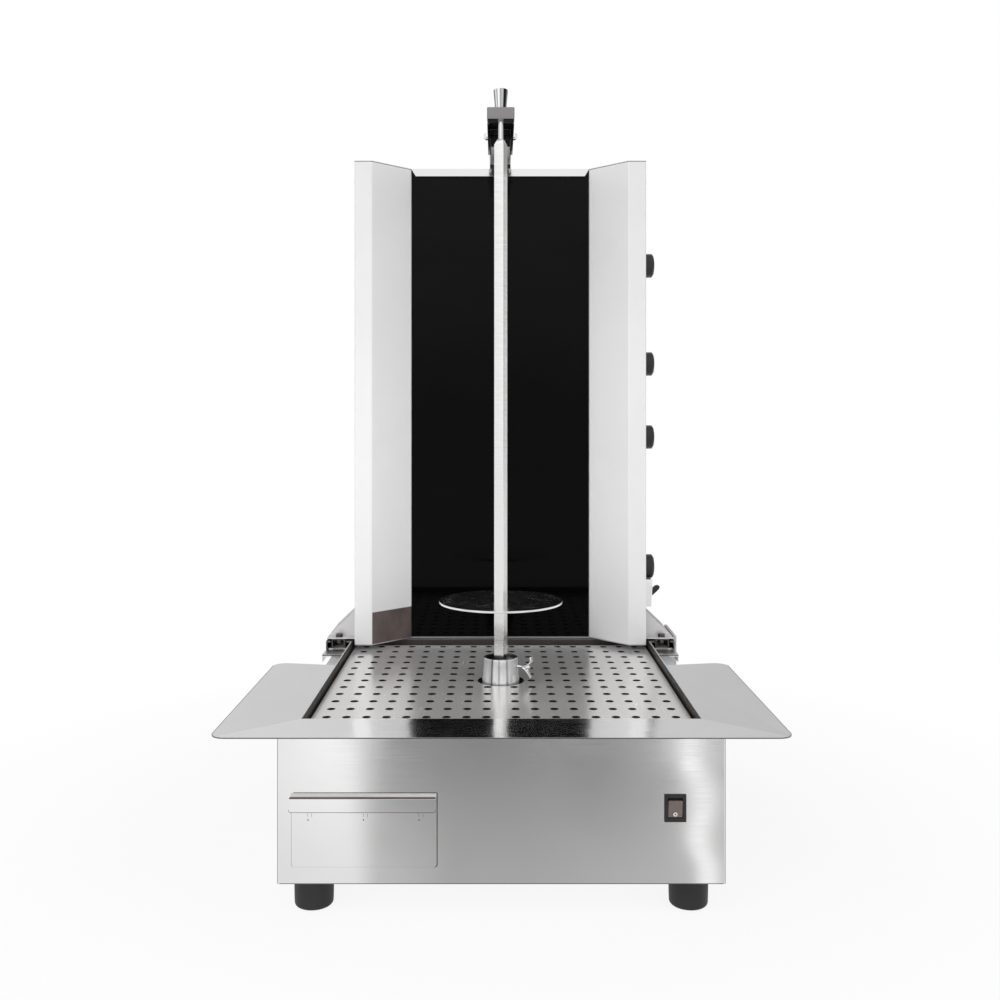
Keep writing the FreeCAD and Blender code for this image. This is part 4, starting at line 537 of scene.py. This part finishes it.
for kind in ("camera", "diffuse", "transmission", "shadow", "volume_scatter"):
    setattr(card, "visible_" + kind, False)
print("floor and card laid")

# %% [markdown]
# ## From a solid to a worn edge
#
# No real edge is perfectly sharp.  A folded sheet turns in a radius of a millimetre or
# two, a sheared edge is broken by a file, and a turned part has a small chamfer.  Those
# narrow faces catch the light, so they tell the eye what it looks at.  The helpers below
# take a node's mesh, join its doubled points, merge flat neighbours, and round the folds
# and the edges by two different amounts.  The result replaces the node in the picture.  A
# round part is turned from its profile instead, ring by ring.

# %% Mesh helpers
def clean_form(name):
    """A node's mesh as a bmesh with shared points and merged flat faces."""
    form = bmesh.new()
    form.from_mesh(frame["nodes"][name].data)
    bmesh.ops.remove_doubles(form, verts=form.verts, dist=1e-5)
    bmesh.ops.dissolve_limit(form, angle_limit=math.radians(1), verts=form.verts,
                             edges=form.edges, delimit={"NORMAL"})
    return form


def width_of(face):
    """How wide a long face is: its area over half its outline."""
    return 2 * face.calc_area() / max(face.calc_perimeter(), 1e-6)


def round_edges(form, edge, fold=0.0):
    """Bevel outer folds between wide faces by fold, and the other sharp edges by edge."""
    def sharp(e):
        return len(e.link_faces) == 2 and math.degrees(e.calc_face_angle(0)) > 30
    if fold:
        bends = [e for e in form.edges if sharp(e) and e.is_convex and e.calc_length() > 0.03
                 and min(width_of(f) for f in e.link_faces) > 0.004]
        if bends:
            bmesh.ops.bevel(form, geom=bends, offset=fold, segments=3, profile=0.5,
                            affect="EDGES", clamp_overlap=False)
    rims = [e for e in form.edges if sharp(e)]
    bmesh.ops.bevel(form, geom=rims, offset=edge, segments=2,
                    profile=0.5, affect="EDGES", clamp_overlap=False)


def part_at(form, spot, way, **more):
    """Part a form's faces along the plane through spot that is square to way."""
    return bmesh.ops.bisect_plane(form, geom=form.verts[:] + form.edges[:] + form.faces[:],
                                  plane_co=spot, plane_no=way, **more)


def outward(form):
    """A form again, with all its faces turned outward."""
    bmesh.ops.recalc_face_normals(form, faces=form.faces)
    return form


def weigh(piece):
    """Let the widest face set the normals, so that flats stay flat beside a rounded fold."""
    trick = piece.modifiers.new("weigh", "WEIGHTED_NORMAL")
    trick.mode = "FACE_AREA"
    trick.weight = 50
    trick.keep_sharp = True
    bpy.context.view_layer.update()
    seen = piece.evaluated_get(bpy.context.evaluated_depsgraph_get())
    rough = piece.data
    piece.data = bpy.data.meshes.new_from_object(seen)
    piece.modifiers.clear()
    piece.data.name = piece.name
    bpy.data.meshes.remove(rough)


def show(name, form, body, finishes, replaces=(), smooth=32):
    """Turn a bmesh into a visible piece that rides with its body."""
    mesh = bpy.data.meshes.new(name)
    form.to_mesh(mesh)
    form.free()
    if "custom_normal" in mesh.attributes:
        mesh.attributes.remove(mesh.attributes["custom_normal"])
    mesh.shade_smooth()
    mesh.set_sharp_from_angle(angle=math.radians(smooth))
    finishes = [finishes] if isinstance(finishes, str) else finishes
    for finish in finishes:
        mesh.materials.append(FINISHES[finish])
    piece = bpy.data.objects.new(name, mesh)
    bpy.context.scene.collection.objects.link(piece)
    weigh(piece)
    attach(piece, body)
    for node_name in replaces:
        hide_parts(node_name)
    return piece


def eased(name, edge=0.00035, fold=0.0, others=(), choose=None, smooth=32, after=None, cuts=(),
          trim=None):
    """A node again with rounded edges; choose(face) gives 0 for its finish, 1 for others[0]...

    after(face) is the same once the edges are round; trim(form) changes the form first, and
    the faces are parted at each y in cuts.
    """
    form = clean_form(name)
    if trim:
        trim(form)
    for y in cuts:
        part_at(form, (0, y, 0), (0, 1, 0))
    for face in form.faces:
        face.material_index = choose(face) if choose else 0
    round_edges(form, edge, fold)
    if after:
        form.normal_update()
        for face in form.faces:
            face.material_index = after(face) or face.material_index
    return show(name + "_eased", form, BODY_OF[name], [FINISH_OF[name], *others], (name,), smooth)


def ring(form, place, radius, count, level=0.0):
    """A circle of vertices round place's own Z axis; a radius of 0 gives one vertex."""
    turns = [2 * math.pi * k / count for k in range(count)] if radius else [0.0]
    return [form.verts.new(place @ Vector((radius * math.cos(a), radius * math.sin(a), level)))
            for a in turns]


def skin(form, rings):
    """Join each ring of vertices to the next one, and give the new faces back."""
    made = []
    for low, high in zip(rings, rings[1:]):
        for k in range(max(len(low), len(high))):
            corners = (low[k % len(low)], low[(k + 1) % len(low)],
                       high[(k + 1) % len(high)], high[k % len(high)])
            corners = list(dict.fromkeys(corners))
            if len(corners) > 2:
                made.append(form.faces.new(corners))
    return made


def lathe(form, profile, place, steps):
    """Turn (radius, height) points round place's Z axis and add the faces to a bmesh."""
    steps = steps
    skin(form, [ring(form, place, radius, steps, level) for radius, level in profile])


SIDEWAYS = Matrix.Rotation(math.radians(90), 4, "Y")
QUARTER = [k * math.pi / 12 for k in range(7)]
print("mesh helpers ready")

# %% [markdown]
# ## Folded sheets
#
# The base, the housing and its covers are thin sheet, about a millimetre and a half.  A
# press brake leaves an outside radius of roughly the sheet's own thickness, so each fold is
# rounded by 1.2 or 1.6 mm, and the base's upright folds by 2.4 mm, since these are rubbed
# softer.  Each sheared edge is rounded by three tenths of a millimetre.

# %% Folded sheets
FOLDED = {1.6 * MM: ["left_side_panel", "right_side_panel"],
          1.2 * MM: ["top_cover", "rear_cover", "switch_box", "left_gusset", "right_gusset",
                     "cable_guard"]}
for fold, names in FOLDED.items():
    for name in names:
        eased(name, 0.0003, fold)


def corner_part(face):
    """1 for the outer half of the base's upright folds, painted dark as a painted reflection."""
    outer = abs(face.normal.x) > 0.55 and face.normal.y < -0.1
    return 1 if outer and face.calc_area() > 2e-5 else 0


eased("base_shell", 0.0003, 0.0024, ("gap_line",), after=corner_part)
print(sum(map(len, FOLDED.values())) + 1, "folded sheets eased")

# %% [markdown]
# ## Tray
#
# The tray's flanges slope up from a sharp crease, and its sheared outer edge is left
# bare.  That edge is a millimetre and a half of cut steel, duller than the sheet, and here it
# is painted near black, a painted shade line all round the flanges.  The narrow faces get a
# finish of their own, and so does a rim of under a millimetre on top of the sheet, which
# widens the painted line.  The well under the deck is painted dark as painted shade.
# The wings' front tips are cut round with planes that touch a circle: each plane takes a
# sliver off, and the cut is closed with one face.

# %% Tray
lo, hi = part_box("drip_tray")
# RIM is how far in from the edge the top of the flanges takes the cut edge's near-black finish, a
# painted shade line.
TIP, RIM = 0.019, 0.0009  # the wing tip's radius, and how far in the rim is dulled
CUT_WIDTH = 0.0017  # a sheet's cut edge is narrower than this
WELL_HALF, WELL_FRONT, WELL_BACK, WELL_TOP = 0.2473, -0.2612, 0.2478, 0.2425
WELL_FLOOR, WELL_STEP, FLANGE_BACK = 0.1995, 0.215, -0.262
OUTLINE = [(Vector((side * hi.x, 0, 0)), Vector((side, 0, 0))) for side in (-1, 1)]
OUTLINE.append((Vector((0, lo.y, 0)), Vector((0, -1, 0))))
TIP_CUTS = []
for side in (-1, 1):
    middle = Vector((side * (hi.x - TIP), lo.y + TIP, 0))
    for degrees in range(10, 90, 10):
        way = Vector((side * math.cos(math.radians(degrees)), -math.sin(math.radians(degrees)), 0))
        TIP_CUTS.append((middle + way * TIP, way))


def trim_tray(form):
    """Round the wings' front tips and part a narrow rim off the flanges' faces."""
    for spot, way in TIP_CUTS:
        cut = part_at(form, spot, way, clear_outer=True)
        rim = [e for e in cut["geom_cut"] if isinstance(e, bmesh.types.BMEdge)]
        bmesh.ops.holes_fill(form, edges=rim)
    for spot, way in OUTLINE + TIP_CUTS:
        part_at(form, spot - way * RIM, way)


def on_rim(spot):
    """Whether a point lies within the rim that is painted dark as a shade line."""
    return any((spot - middle).dot(way) > -RIM for middle, way in OUTLINE + TIP_CUTS)


def tray_part(face):
    """0 for the bright sheet, 1 its cut edge and rim in painted shade, 2 the well in painted shade,
    3 the front flange.
    """
    x, y, z = middle = face.calc_center_median()
    if (width_of(face) < CUT_WIDTH and abs(face.normal.z) < 0.5) or on_rim(middle):
        return 1
    if face.normal.z > 0.7 and y < FLANGE_BACK and abs(face.normal.x) < 0.05:
        return 3
    inside = abs(x) < WELL_HALF and WELL_FRONT < y < WELL_BACK and z < WELL_TOP
    return 2 if inside and (abs(face.normal.z) < 0.5 or WELL_FLOOR < z < WELL_STEP) else 0


eased("drip_tray", 0.0002, 0.0, ("cut_edge", "well_steel", "flange_sheet"), tray_part,
      trim=trim_tray)
print("tray with its cut edge and its well")

# %% [markdown]
# ## Perforated deck
#
# The deck is punched in rows.  A punch drags the sheet down a little before it shears, so
# each hole has a narrow dished rim.  The top is filled between the outline and all the
# circles in one go, and each circle then turns down in three small rings.  The rim and the
# wall are painted near black as the shade inside the hole, and that makes a hole read as a
# hole from a low camera.

# %% Deck with punched holes
lo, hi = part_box("perforated_plate")
PLATE_TOP, PLATE_THICK = hi.z, 0.0015
COLUMNS = [side * (19.0 + 25.7 * k) * MM for side in (-1, 1) for k in range(9)]
ROWS = [(-18.0 + 38.0 * k) * MM for k in range(-6, 7)]
HOLE, SPIT_HOLE, DISH = 4.75 * MM, 33 * MM, 0.9 * MM  # two radii, and a rim's width
FREE_ROUND_SPIT, FREE_AT_EDGE = 42 * MM, 8 * MM


def join_ring(form, points):
    """The edges of a closed outline."""
    return [form.edges.new((a, b)) for a, b in zip(points, points[1:] + points[:1])]


form = bmesh.new()
corners = ((lo.x, lo.y), (hi.x, lo.y), (hi.x, hi.y), (lo.x, hi.y))
rim, foot = [[form.verts.new((x, y, z)) for x, y in corners]
             for z in (PLATE_TOP, PLATE_TOP - PLATE_THICK)]
steps = 28
holes = [(x, y, HOLE, steps) for x in COLUMNS for y in ROWS
         if math.hypot(x, y - SPIT_Y) >= FREE_ROUND_SPIT
         and lo.y + FREE_AT_EDGE < y < hi.y - FREE_AT_EDGE]
holes.append((0.0, SPIT_Y, SPIT_HOLE, 2 * steps))
holes = [(Matrix.Translation((x, y, PLATE_TOP)), radius, count) for x, y, radius, count in holes]
circles = [ring(form, place, radius + DISH, count) for place, radius, count in holes]
edges = join_ring(form, rim)
for points in circles:
    edges += join_ring(form, points)
bmesh.ops.triangle_fill(form, use_beauty=True, use_dissolve=False, edges=edges,
                        normal=(0, 0, 1))
for (place, radius, count), points in zip(holes, circles):
    lower = [ring(form, place, radius + grow, count, -drop) for grow, drop in
             ((0.0001, 0.0001), (0.0, 0.0003), (0.0, PLATE_THICK))]
    for wall in skin(form, [points, *lower]):
        wall.material_index = 1
skin(form, [rim, foot])
if max(outward(form).faces, key=lambda f: f.calc_area()).normal.z < 0:
    bmesh.ops.reverse_faces(form, faces=form.faces)
print("deck:", len(holes), "holes,", len(form.faces), "faces; plate box z",
      round(lo.z, 4), round(hi.z, 4))
show("deck_plate", form, "base", ["deck_sheet", "painted_shade"], ("perforated_plate",), smooth=60)

# %% [markdown]
# ## Grease drawer's front
#
# The front is one sheet: a flat panel, folded forward and then down again into the lip
# that the fingers reach behind.  Its top lies in the tray's shade and mirrors nothing
# bright, and it is painted in bands from the back: a pale one as painted light, then painted
# shade, and a dark line at its edge.  Three small tabs of the lip's inner fold are
# spot-welded to the panel just under it, and each leaves two short seams and a dimple.  Seen
# square on, a cut edge and the gap behind it are a hairline, so each is drawn as a thin dark
# strip on the sheet behind it: round the panel, above the lip, and along the base's lower
# edge.  A strip along the lip's lower edge is a painted shadow of the lip.

# %% Drawer front
lo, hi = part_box("drawer_front")


def front_part(face):
    """0 for the sheet, 1 for its cut edge, 2 to 4 for the lip's top from the back to its edge."""
    if face.normal.z > 0.7 and width_of(face) > 0.002:
        y = face.calc_center_median().y - lo.y
        return 4 if y < 0.003 else 3 if y < 0.008 else 2
    return 1 if width_of(face) < CUT_WIDTH else 0


pull = eased("drawer_front", 0.0004, 0.0, ("cut_edge", "lip_top", "shade_sheet", "gap_line"),
             front_part, cuts=(lo.y + 0.003, lo.y + 0.008))
pull.visible_glossy = False  # its own mirror image in the base would double the lip


def hairline(form, points, half, lift):
    """A flat dark line on a sheet that faces the front, through (x, z) points."""
    for (x0, z0), (x1, z1) in zip(points, points[1:]):
        along = Vector((x1 - x0, 0, z1 - z0)).normalized()
        side = Vector((-along.z, 0, along.x)) * half
        ends = [Vector((x0, lift, z0)), Vector((x1, lift, z1))]
        form.faces.new([form.verts.new(ends[0] - side), form.verts.new(ends[1] - side),
                        form.verts.new(ends[1] + side), form.verts.new(ends[0] + side)])


def corner(x, turn, low, radius=0.003):
    """(x, z) points round a lower corner, from the side at x to the bottom at low."""
    return [(x + turn * radius * (1 - math.sin(a)), low + radius * (1 - math.cos(a)))
            for a in QUARTER]


form = bmesh.new()
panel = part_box("drawer_pan")[0].y - 0.0016
low = lo.z
lip_low = hi.z - 0.0165
seam = lip_low - 0.0075  # the lip hides the panel above this
for x in (lo.x + 0.0225, lo.x + 0.0905, lo.x + 0.1585):
    hairline(form, [(x - 0.0024, seam), (x - 0.0024, seam - 0.0046)], 0.0002, panel)
    hairline(form, [(x + 0.0024, seam), (x + 0.0024, seam - 0.0050)], 0.0002, panel)
    upright = Matrix.Rotation(math.radians(90), 4, "X")
    dimple = Matrix.Translation((x - 0.0022, panel, seam - 0.0082)) @ upright
    form.faces.new(ring(form, dimple, 0.0009, 8))
# The lip's painted shadow: a dark strip along its lower edge and round its lower corners.
lip = lo.y - 0.00002
hairline(form, [(lo.x + 0.003, lip_low + 0.0003), (hi.x - 0.003, lip_low + 0.0003)], 0.0003, lip)
for out, turn in ((lo.x, 1), (hi.x, -1)):
    hairline(form, corner(out + turn * 0.0002, turn, lip_low + 0.0002), 0.0003, lip)
show("drawer_tabs_and_lip_shadow", outward(form), "drawer", "shade_sheet")

base_lo, base_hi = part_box("base_shell")
front = base_lo.y - 0.00004
# Round the panel the left and lower lines are mid-grey; the right one and the one above the drawer
# front are darker, painted shadow in the gaps; the line along the base's lower edge is as dark.
soft, strong = bmesh.new(), bmesh.new()
for out, turn, half, form in ((lo.x, 1, 0.0003, soft), (hi.x, -1, 0.0005, strong)):
    edge = out - turn * half
    hairline(form, corner(edge, turn, low - half) + [(edge, hi.z)], half, front)
hairline(soft, [(lo.x + 0.003, low - 0.0004), (hi.x - 0.003, low - 0.0004)], 0.0003, front)
hairline(strong, [(lo.x + 0.002, hi.z + 0.0005), (hi.x + 0.0005, hi.z + 0.0005)], 0.0004, front)
hairline(strong, [(base_lo.x + 0.003, base_lo.z + 0.0005),
                  (base_hi.x - 0.003, base_lo.z + 0.0005)], 0.0004, front)
show("front_lines", outward(soft), "base", "shade_sheet")
show("front_gaps", outward(strong), "base", "gap_line")
print("drawer front, panel at y", round(panel, 4))

# %% [markdown]
# ## Spit, socket and thumb screw
#
# The socket is a turned cup.  Its outside is bright with painted streaks, and its inside is painted
# dark as shade, but for its floor and a lit side of its wall.
# The square bar has a small chamfer on each long edge, which shows as a hairline of light.
# The thumb screw's two wings are bent from thin strip, so they are swept here along two
# short curves instead of being cut from a block.

# %% Spit pieces
CUP_FOLD, CUP_FLOOR, CUP_INSIDE, LIT_WALL = 0.256, 0.26, 0.0262, 0.0195


def socket_part(face):
    """0 for the outside and the rim, 1 for the inside in painted shade, 2 for its floor and lit
    wall.
    """
    x, y, z = face.calc_center_median()
    reach = math.hypot(x, y - SPIT_Y)
    if z < CUP_FOLD or reach > CUP_INSIDE:
        return 0
    if face.normal.z > 0.5:
        return 2 if z < CUP_FLOOR else 0
    if face.normal.x * x + face.normal.y * (y - SPIT_Y) > -0.3 * reach:
        return 0
    return 2 if 0 < x < LIT_WALL else 1


eased("spit_socket", 0.0004, 0.0, ("painted_shade", "bright_bar"), socket_part, smooth=40)
eased("spit_bar", 0.0006)
eased("meat_disc", 0.0004)
eased("disc_stop", 0.0003)


def bent_strip(form, path, thick, deep, place):
    """A flat strip along (reach, height) points, smoothed by cutting its corners."""
    points = [Vector((u, w)) for u, w in path]
    for _ in range(3):
        finer = [points[0]]
        for a, b in zip(points, points[1:]):
            finer += [a.lerp(b, 0.25), a.lerp(b, 0.75)]
        points = finer + [points[-1]]
    rings = []
    for k, spot in enumerate(points):
        ahead = (points[min(k + 1, len(points) - 1)] - points[max(k - 1, 0)]).normalized()
        side = Vector((-ahead.y, ahead.x))
        share = k / (len(points) - 1)
        half, wide = thick / 2, deep / 2 * (0.8 + 0.35 * math.sin(math.pi * share))
        low_side = [(-half, -wide), (-half * 0.4, -wide * 1.12), (half * 0.4, -wide * 1.12),
                    (half, -wide)]
        section = low_side + [(-a, -b) for a, b in low_side]
        rings.append([form.verts.new(place @ Vector((spot.x + side.x * a, b, spot.y + side.y * a)))
                      for a, b in section])
    skin(form, rings)
    form.faces.new(rings[0][::-1])
    form.faces.new(rings[-1])


lo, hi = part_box("wing_screw")
SCREW_Z = (lo.z + hi.z) / 2
spin = Matrix.Translation((0, SPIT_Y, SCREW_Z)) @ Matrix.Rotation(math.radians(-23), 4, "Z")
form = bmesh.new()
bent_strip(form, [(0.034, 0.0008), (0.041, 0.0022), (0.0462, 0.0050), (0.0482, 0.0095),
                  (0.0474, 0.0130), (0.0478, 0.0152)], 0.0021, 0.0062, spin)
bent_strip(form, [(0.034, -0.0008), (0.039, -0.0026), (0.0430, -0.0078), (0.0475, -0.0152)],
           0.0019, 0.0062, spin)
shank = [(0.0, 0.0076), (0.0018, 0.0076), (0.0022, 0.0082), (0.0022, 0.0265), (0.0024, 0.0285),
         (0.0020, 0.0300), (0.0020, 0.0370), (0.0030, 0.0385), (0.0030, 0.0440),
         (0.0022, 0.0458), (0.0, 0.0460)]
lathe(form, shank, spin @ SIDEWAYS, steps=32)
show("wing_screw_bent", outward(form), "thumb_screw", "chrome", ("wing_screw",), smooth=40)
print("spit pieces done; thumb screw's axis at z", round(SCREW_Z, 4))

# %% [markdown]
# ## Feet
#
# A rubber foot is moulded with a soft lower edge, so it is turned from a profile with a
# proper curve there.  Its sole is hollow by half a millimetre, so that it stands on a ring.

# %% Feet
lo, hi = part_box("feet")
FOOT, CURVE = 0.025, 0.0042
profile = [(0.0, 0.0006), (0.0150, 0.0004), (0.0195, 0.0)]
profile += [(0.0202 + CURVE * math.sin(a), CURVE - CURVE * math.cos(a)) for a in QUARTER[1:]]
profile += [(0.0247, 0.012), (0.02495, 0.030), (0.02495, hi.z - 0.0008), (0.0244, hi.z),
            (0.0, hi.z)]
form = bmesh.new()
for x in (lo.x + FOOT, hi.x - FOOT):
    for y in (lo.y + FOOT, hi.y - FOOT):
        lathe(form, profile, Matrix.Translation((x, y, lo.z)), steps=72)
show("feet_turned", outward(form), "base", "black_rubber", ("feet",), smooth=50)
print("feet turned,", round((hi.z - lo.z) / MM, 1), "mm high")

# %% [markdown]
# ## Knobs
#
# A knob is moulded in one piece: a thin skirt against the panel, a round body with a domed
# face, and a bar across the face that two fingers turn it by.  The body is a profile turned
# round the shaft's axis, because a cylinder alone has no soft corner to catch the light.
# The bar is a small box with rounded edges, and a painted line on it points at the setting.

# %% Knobs
def knob_profile(long):
    """Radius and height of a knob: skirt, flat side, soft corner, domed face."""
    side, soft, dome = 0.0203, 0.0014, 0.0036
    points = [(0.0, 0.0), (0.0195, 0.0), (0.0205, 0.0010), (0.0205, 0.0030), (0.0200, 0.0036),
              (side, 0.0050), (side, long - 0.0052)]
    for a in (k * math.pi / 8 for k in range(1, 5)):
        points.append((side - soft * (1 - math.cos(a)), long - 0.0052 + soft * math.sin(a)))
    for a in (k * math.pi / 16 for k in range(1, 8)):
        points.append((0.0185 * math.cos(a), long - dome + dome * math.sin(a)))
    return points + [(0.0, long)]


SHAFT = [(0.0, -0.012), (0.003, -0.012), (0.003, 0.001), (0.0, 0.001)]
BAR = (0.0042, 0.0052, 0.030)
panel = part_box("right_side_panel")[1].x
for name in ("knob_1", "knob_2", "knob_3", "knob_4"):
    lo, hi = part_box(name)
    middle = Vector((panel + 0.0004, (lo.y + hi.y) / 2, (lo.z + hi.z) / 2))
    long = hi.x - panel - 0.0006
    form = bmesh.new()
    place = Matrix.Translation(middle) @ SIDEWAYS
    lathe(form, knob_profile(long), place, steps=96)
    lathe(form, SHAFT, place, steps=24)
    outward(form)
    grip = bmesh.new()
    bmesh.ops.create_cube(grip, size=1.0, matrix=Matrix.Diagonal((*BAR, 1)))
    bmesh.ops.bevel(grip, geom=grip.edges[:], offset=0.0011, segments=3, profile=0.5,
                    affect="EDGES")
    bmesh.ops.translate(grip, verts=grip.verts, vec=middle + Vector((long - 0.0026, 0, 0)))
    bar = bpy.data.meshes.new("grip")
    grip.to_mesh(bar)
    grip.free()
    form.from_mesh(bar)
    bpy.data.meshes.remove(bar)
    show(name + "_turned", form, BODY_OF[name], "black_plastic", (name,), smooth=40)
    mark = bmesh.new()
    x, y = long - 0.00045, 0.0008
    corners = [(x, -y, 0.0075), (x, y, 0.0075), (x, y, 0.0138), (x, -y, 0.0138)]
    mark.faces.new([mark.verts.new(middle + Vector(c)) for c in corners])
    show(name + "_pointer", mark, BODY_OF[name], "mark_paint")
print("four knobs turned; the last is", round(long / MM, 1), "mm long")

# %% [markdown]
# ## Power rocker
#
# The rocker snaps into a rectangular hole from the front, and its bezel hides the hole's
# edge.  The key is tilted, so its lower half mirrors another part of the room than its upper
# half.  A plain painted ring marks the side that switches off.  It is a flat ring of 32
# faces that floats six hundredths of a millimetre over the key and tilts with it.

# %% Power rocker and its bezel
eased("rocker_bezel", 0.0007, 0.0, smooth=35)
eased("power_rocker", 0.0006, 0.0, smooth=35)
lo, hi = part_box("power_rocker")
rocker = frame["nodes"]["power_rocker"].data
low_face = max((f for f in rocker.polygons if f.normal.y < -0.4 and f.center.z < (lo.z + hi.z) / 2),
               key=lambda f: f.area)
normal = low_face.normal.copy()
down = Vector((0, normal.z, -normal.y))
down = down if down.z < 0 else -down
side = Vector((1, 0, 0))
anchor = sum((rocker.vertices[v].co for v in low_face.vertices), Vector()) / len(low_face.vertices)
points = [v for f in rocker.polygons if f.normal.dot(normal) > 0.999 for v in f.vertices]
reach = max((rocker.vertices[v].co - anchor).dot(down) for v in points)
centre = anchor + down * (reach - 0.0040) + normal * 0.00006
centre.x = (lo.x + hi.x) / 2
form = bmesh.new()
around = [side * math.cos(k * math.pi / 16) + down * math.sin(k * math.pi / 16)
          for k in range(32)]
skin(form, [[form.verts.new(centre + way * radius) for way in around]
            for radius in (0.0013, 0.0025)])
show("rocker_mark", outward(form), "rocker", "mark_paint")
print("rocker's ring mark at", [round(c, 4) for c in centre])

# %% [markdown]
# ## Arm, plunger and small fittings
#
# The arm is a channel that is open below, and from in front one looks up into its shadow.
# The inside is painted dark here, where the light hardly reaches on the real arm either.

# %% Arm and fittings
CHANNEL_HALF, SHANK_HALF = 0.0195, 0.0185


def channel_part(face):
    """1 for the dark inside of the channel and what looks down, and 0 for the rest."""
    x = face.calc_center_median().x
    inward = face.normal.x * x < 0 and abs(face.normal.x) > 0.3 and abs(x) < CHANNEL_HALF
    return 1 if inward or face.normal.z < -0.3 else 0


eased("arm_front_channel", 0.0003, 0.001, ("painted_shade",), channel_part)
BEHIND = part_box("arm_front_channel")[1].y


def rear_part(face):
    """Where the front channel covers it, the rear one is painted dark as shade but for its top;
    behind, it is pale, a painted reflection.
    """
    if face.calc_center_median().y > BEHIND:
        return 2
    return 0 if face.normal.z > 0.5 else 1


eased("arm_rear_channel", 0.0003, 0.001, ("painted_shade", "satin_sheet"), rear_part, cuts=(BEHIND,))
eased("arm_block", 0.0022)
eased("plunger_knob", 0.0005, smooth=40)
eased("plunger_pin", 0.0003, smooth=40)


def bolt_part(face):
    """1 for the shank, which is hidden in the arm's shadow, and 0 for the two ends."""
    return 1 if abs(face.calc_center_median().x) < SHANK_HALF else 0


eased("cross_bolt", 0.0002, 0.0, ("painted_shade",), bolt_part, smooth=40)
eased("switch_lever", 0.0008, smooth=45)
for name in ("gusset_bolts", "side_screws", "foot_bolts", "cable_gland", "drain_spout"):
    eased(name, 0.0002, smooth=40)
for name in ("rail_shelves", "housing_floor", "base_floor", "base_back", "drawer_pan",
             "drawer_runners", "rail_carriages", "glass_retainers", "motor_bracket"):
    eased(name, 0.0002)

APRON, RAIL_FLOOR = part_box("rail_carriages")[0].y - 0.002, 0.23


def rail_part(face):
    """1 for a rail's sides and top in painted shade, 2 for its pale floor behind APRON, 0 before
    it.
    """
    middle = face.calc_center_median()
    if face.normal.z < 0.7 or middle.z > RAIL_FLOOR:
        return 1
    return 2 if middle.y > APRON else 0


eased("fixed_rails", 0.0003, 0.0, ("painted_shade", "glide_plastic"), rail_part, cuts=(APRON,))
eased("glass_panel", 0.0006)
print("arm and fittings eased")

# %% [markdown]
# ## Cap lines on the shields
#
# Each shield's rim is folded back at the top, and a thin line of shade lies just under its
# edge, painted here as a dark strip.  The line follows the flat strip and then the slant
# beside the glass, so it is laid along the top edge of every upright face that looks forward.

# %% Cap lines
for name in ("left_side_panel", "right_side_panel"):
    sheet = clean_form(name)
    top = max(v.co.z for v in sheet.verts)
    form = bmesh.new()
    for face in sheet.faces:
        if face.normal.y > -0.3 or abs(face.normal.z) > 0.1:
            continue
        rim = [v.co.copy() for v in face.verts if v.co.z > top - 0.0005]
        if len(rim) < 2 or (rim[0] - rim[-1]).length < 0.008:
            continue
        rim.sort(key=lambda co: co.x)
        left, right = [co + face.normal * 0.00003 for co in (rim[0], rim[-1])]
        low = Vector((0, 0, -0.0009))
        form.faces.new([form.verts.new(p) for p in (left, right, right + low, left + low)])
    sheet.free()
    print(name, "cap line in", len(form.faces), "parts")
    show(name[:-10] + "cap", outward(form), BODY_OF[name], "cut_edge")
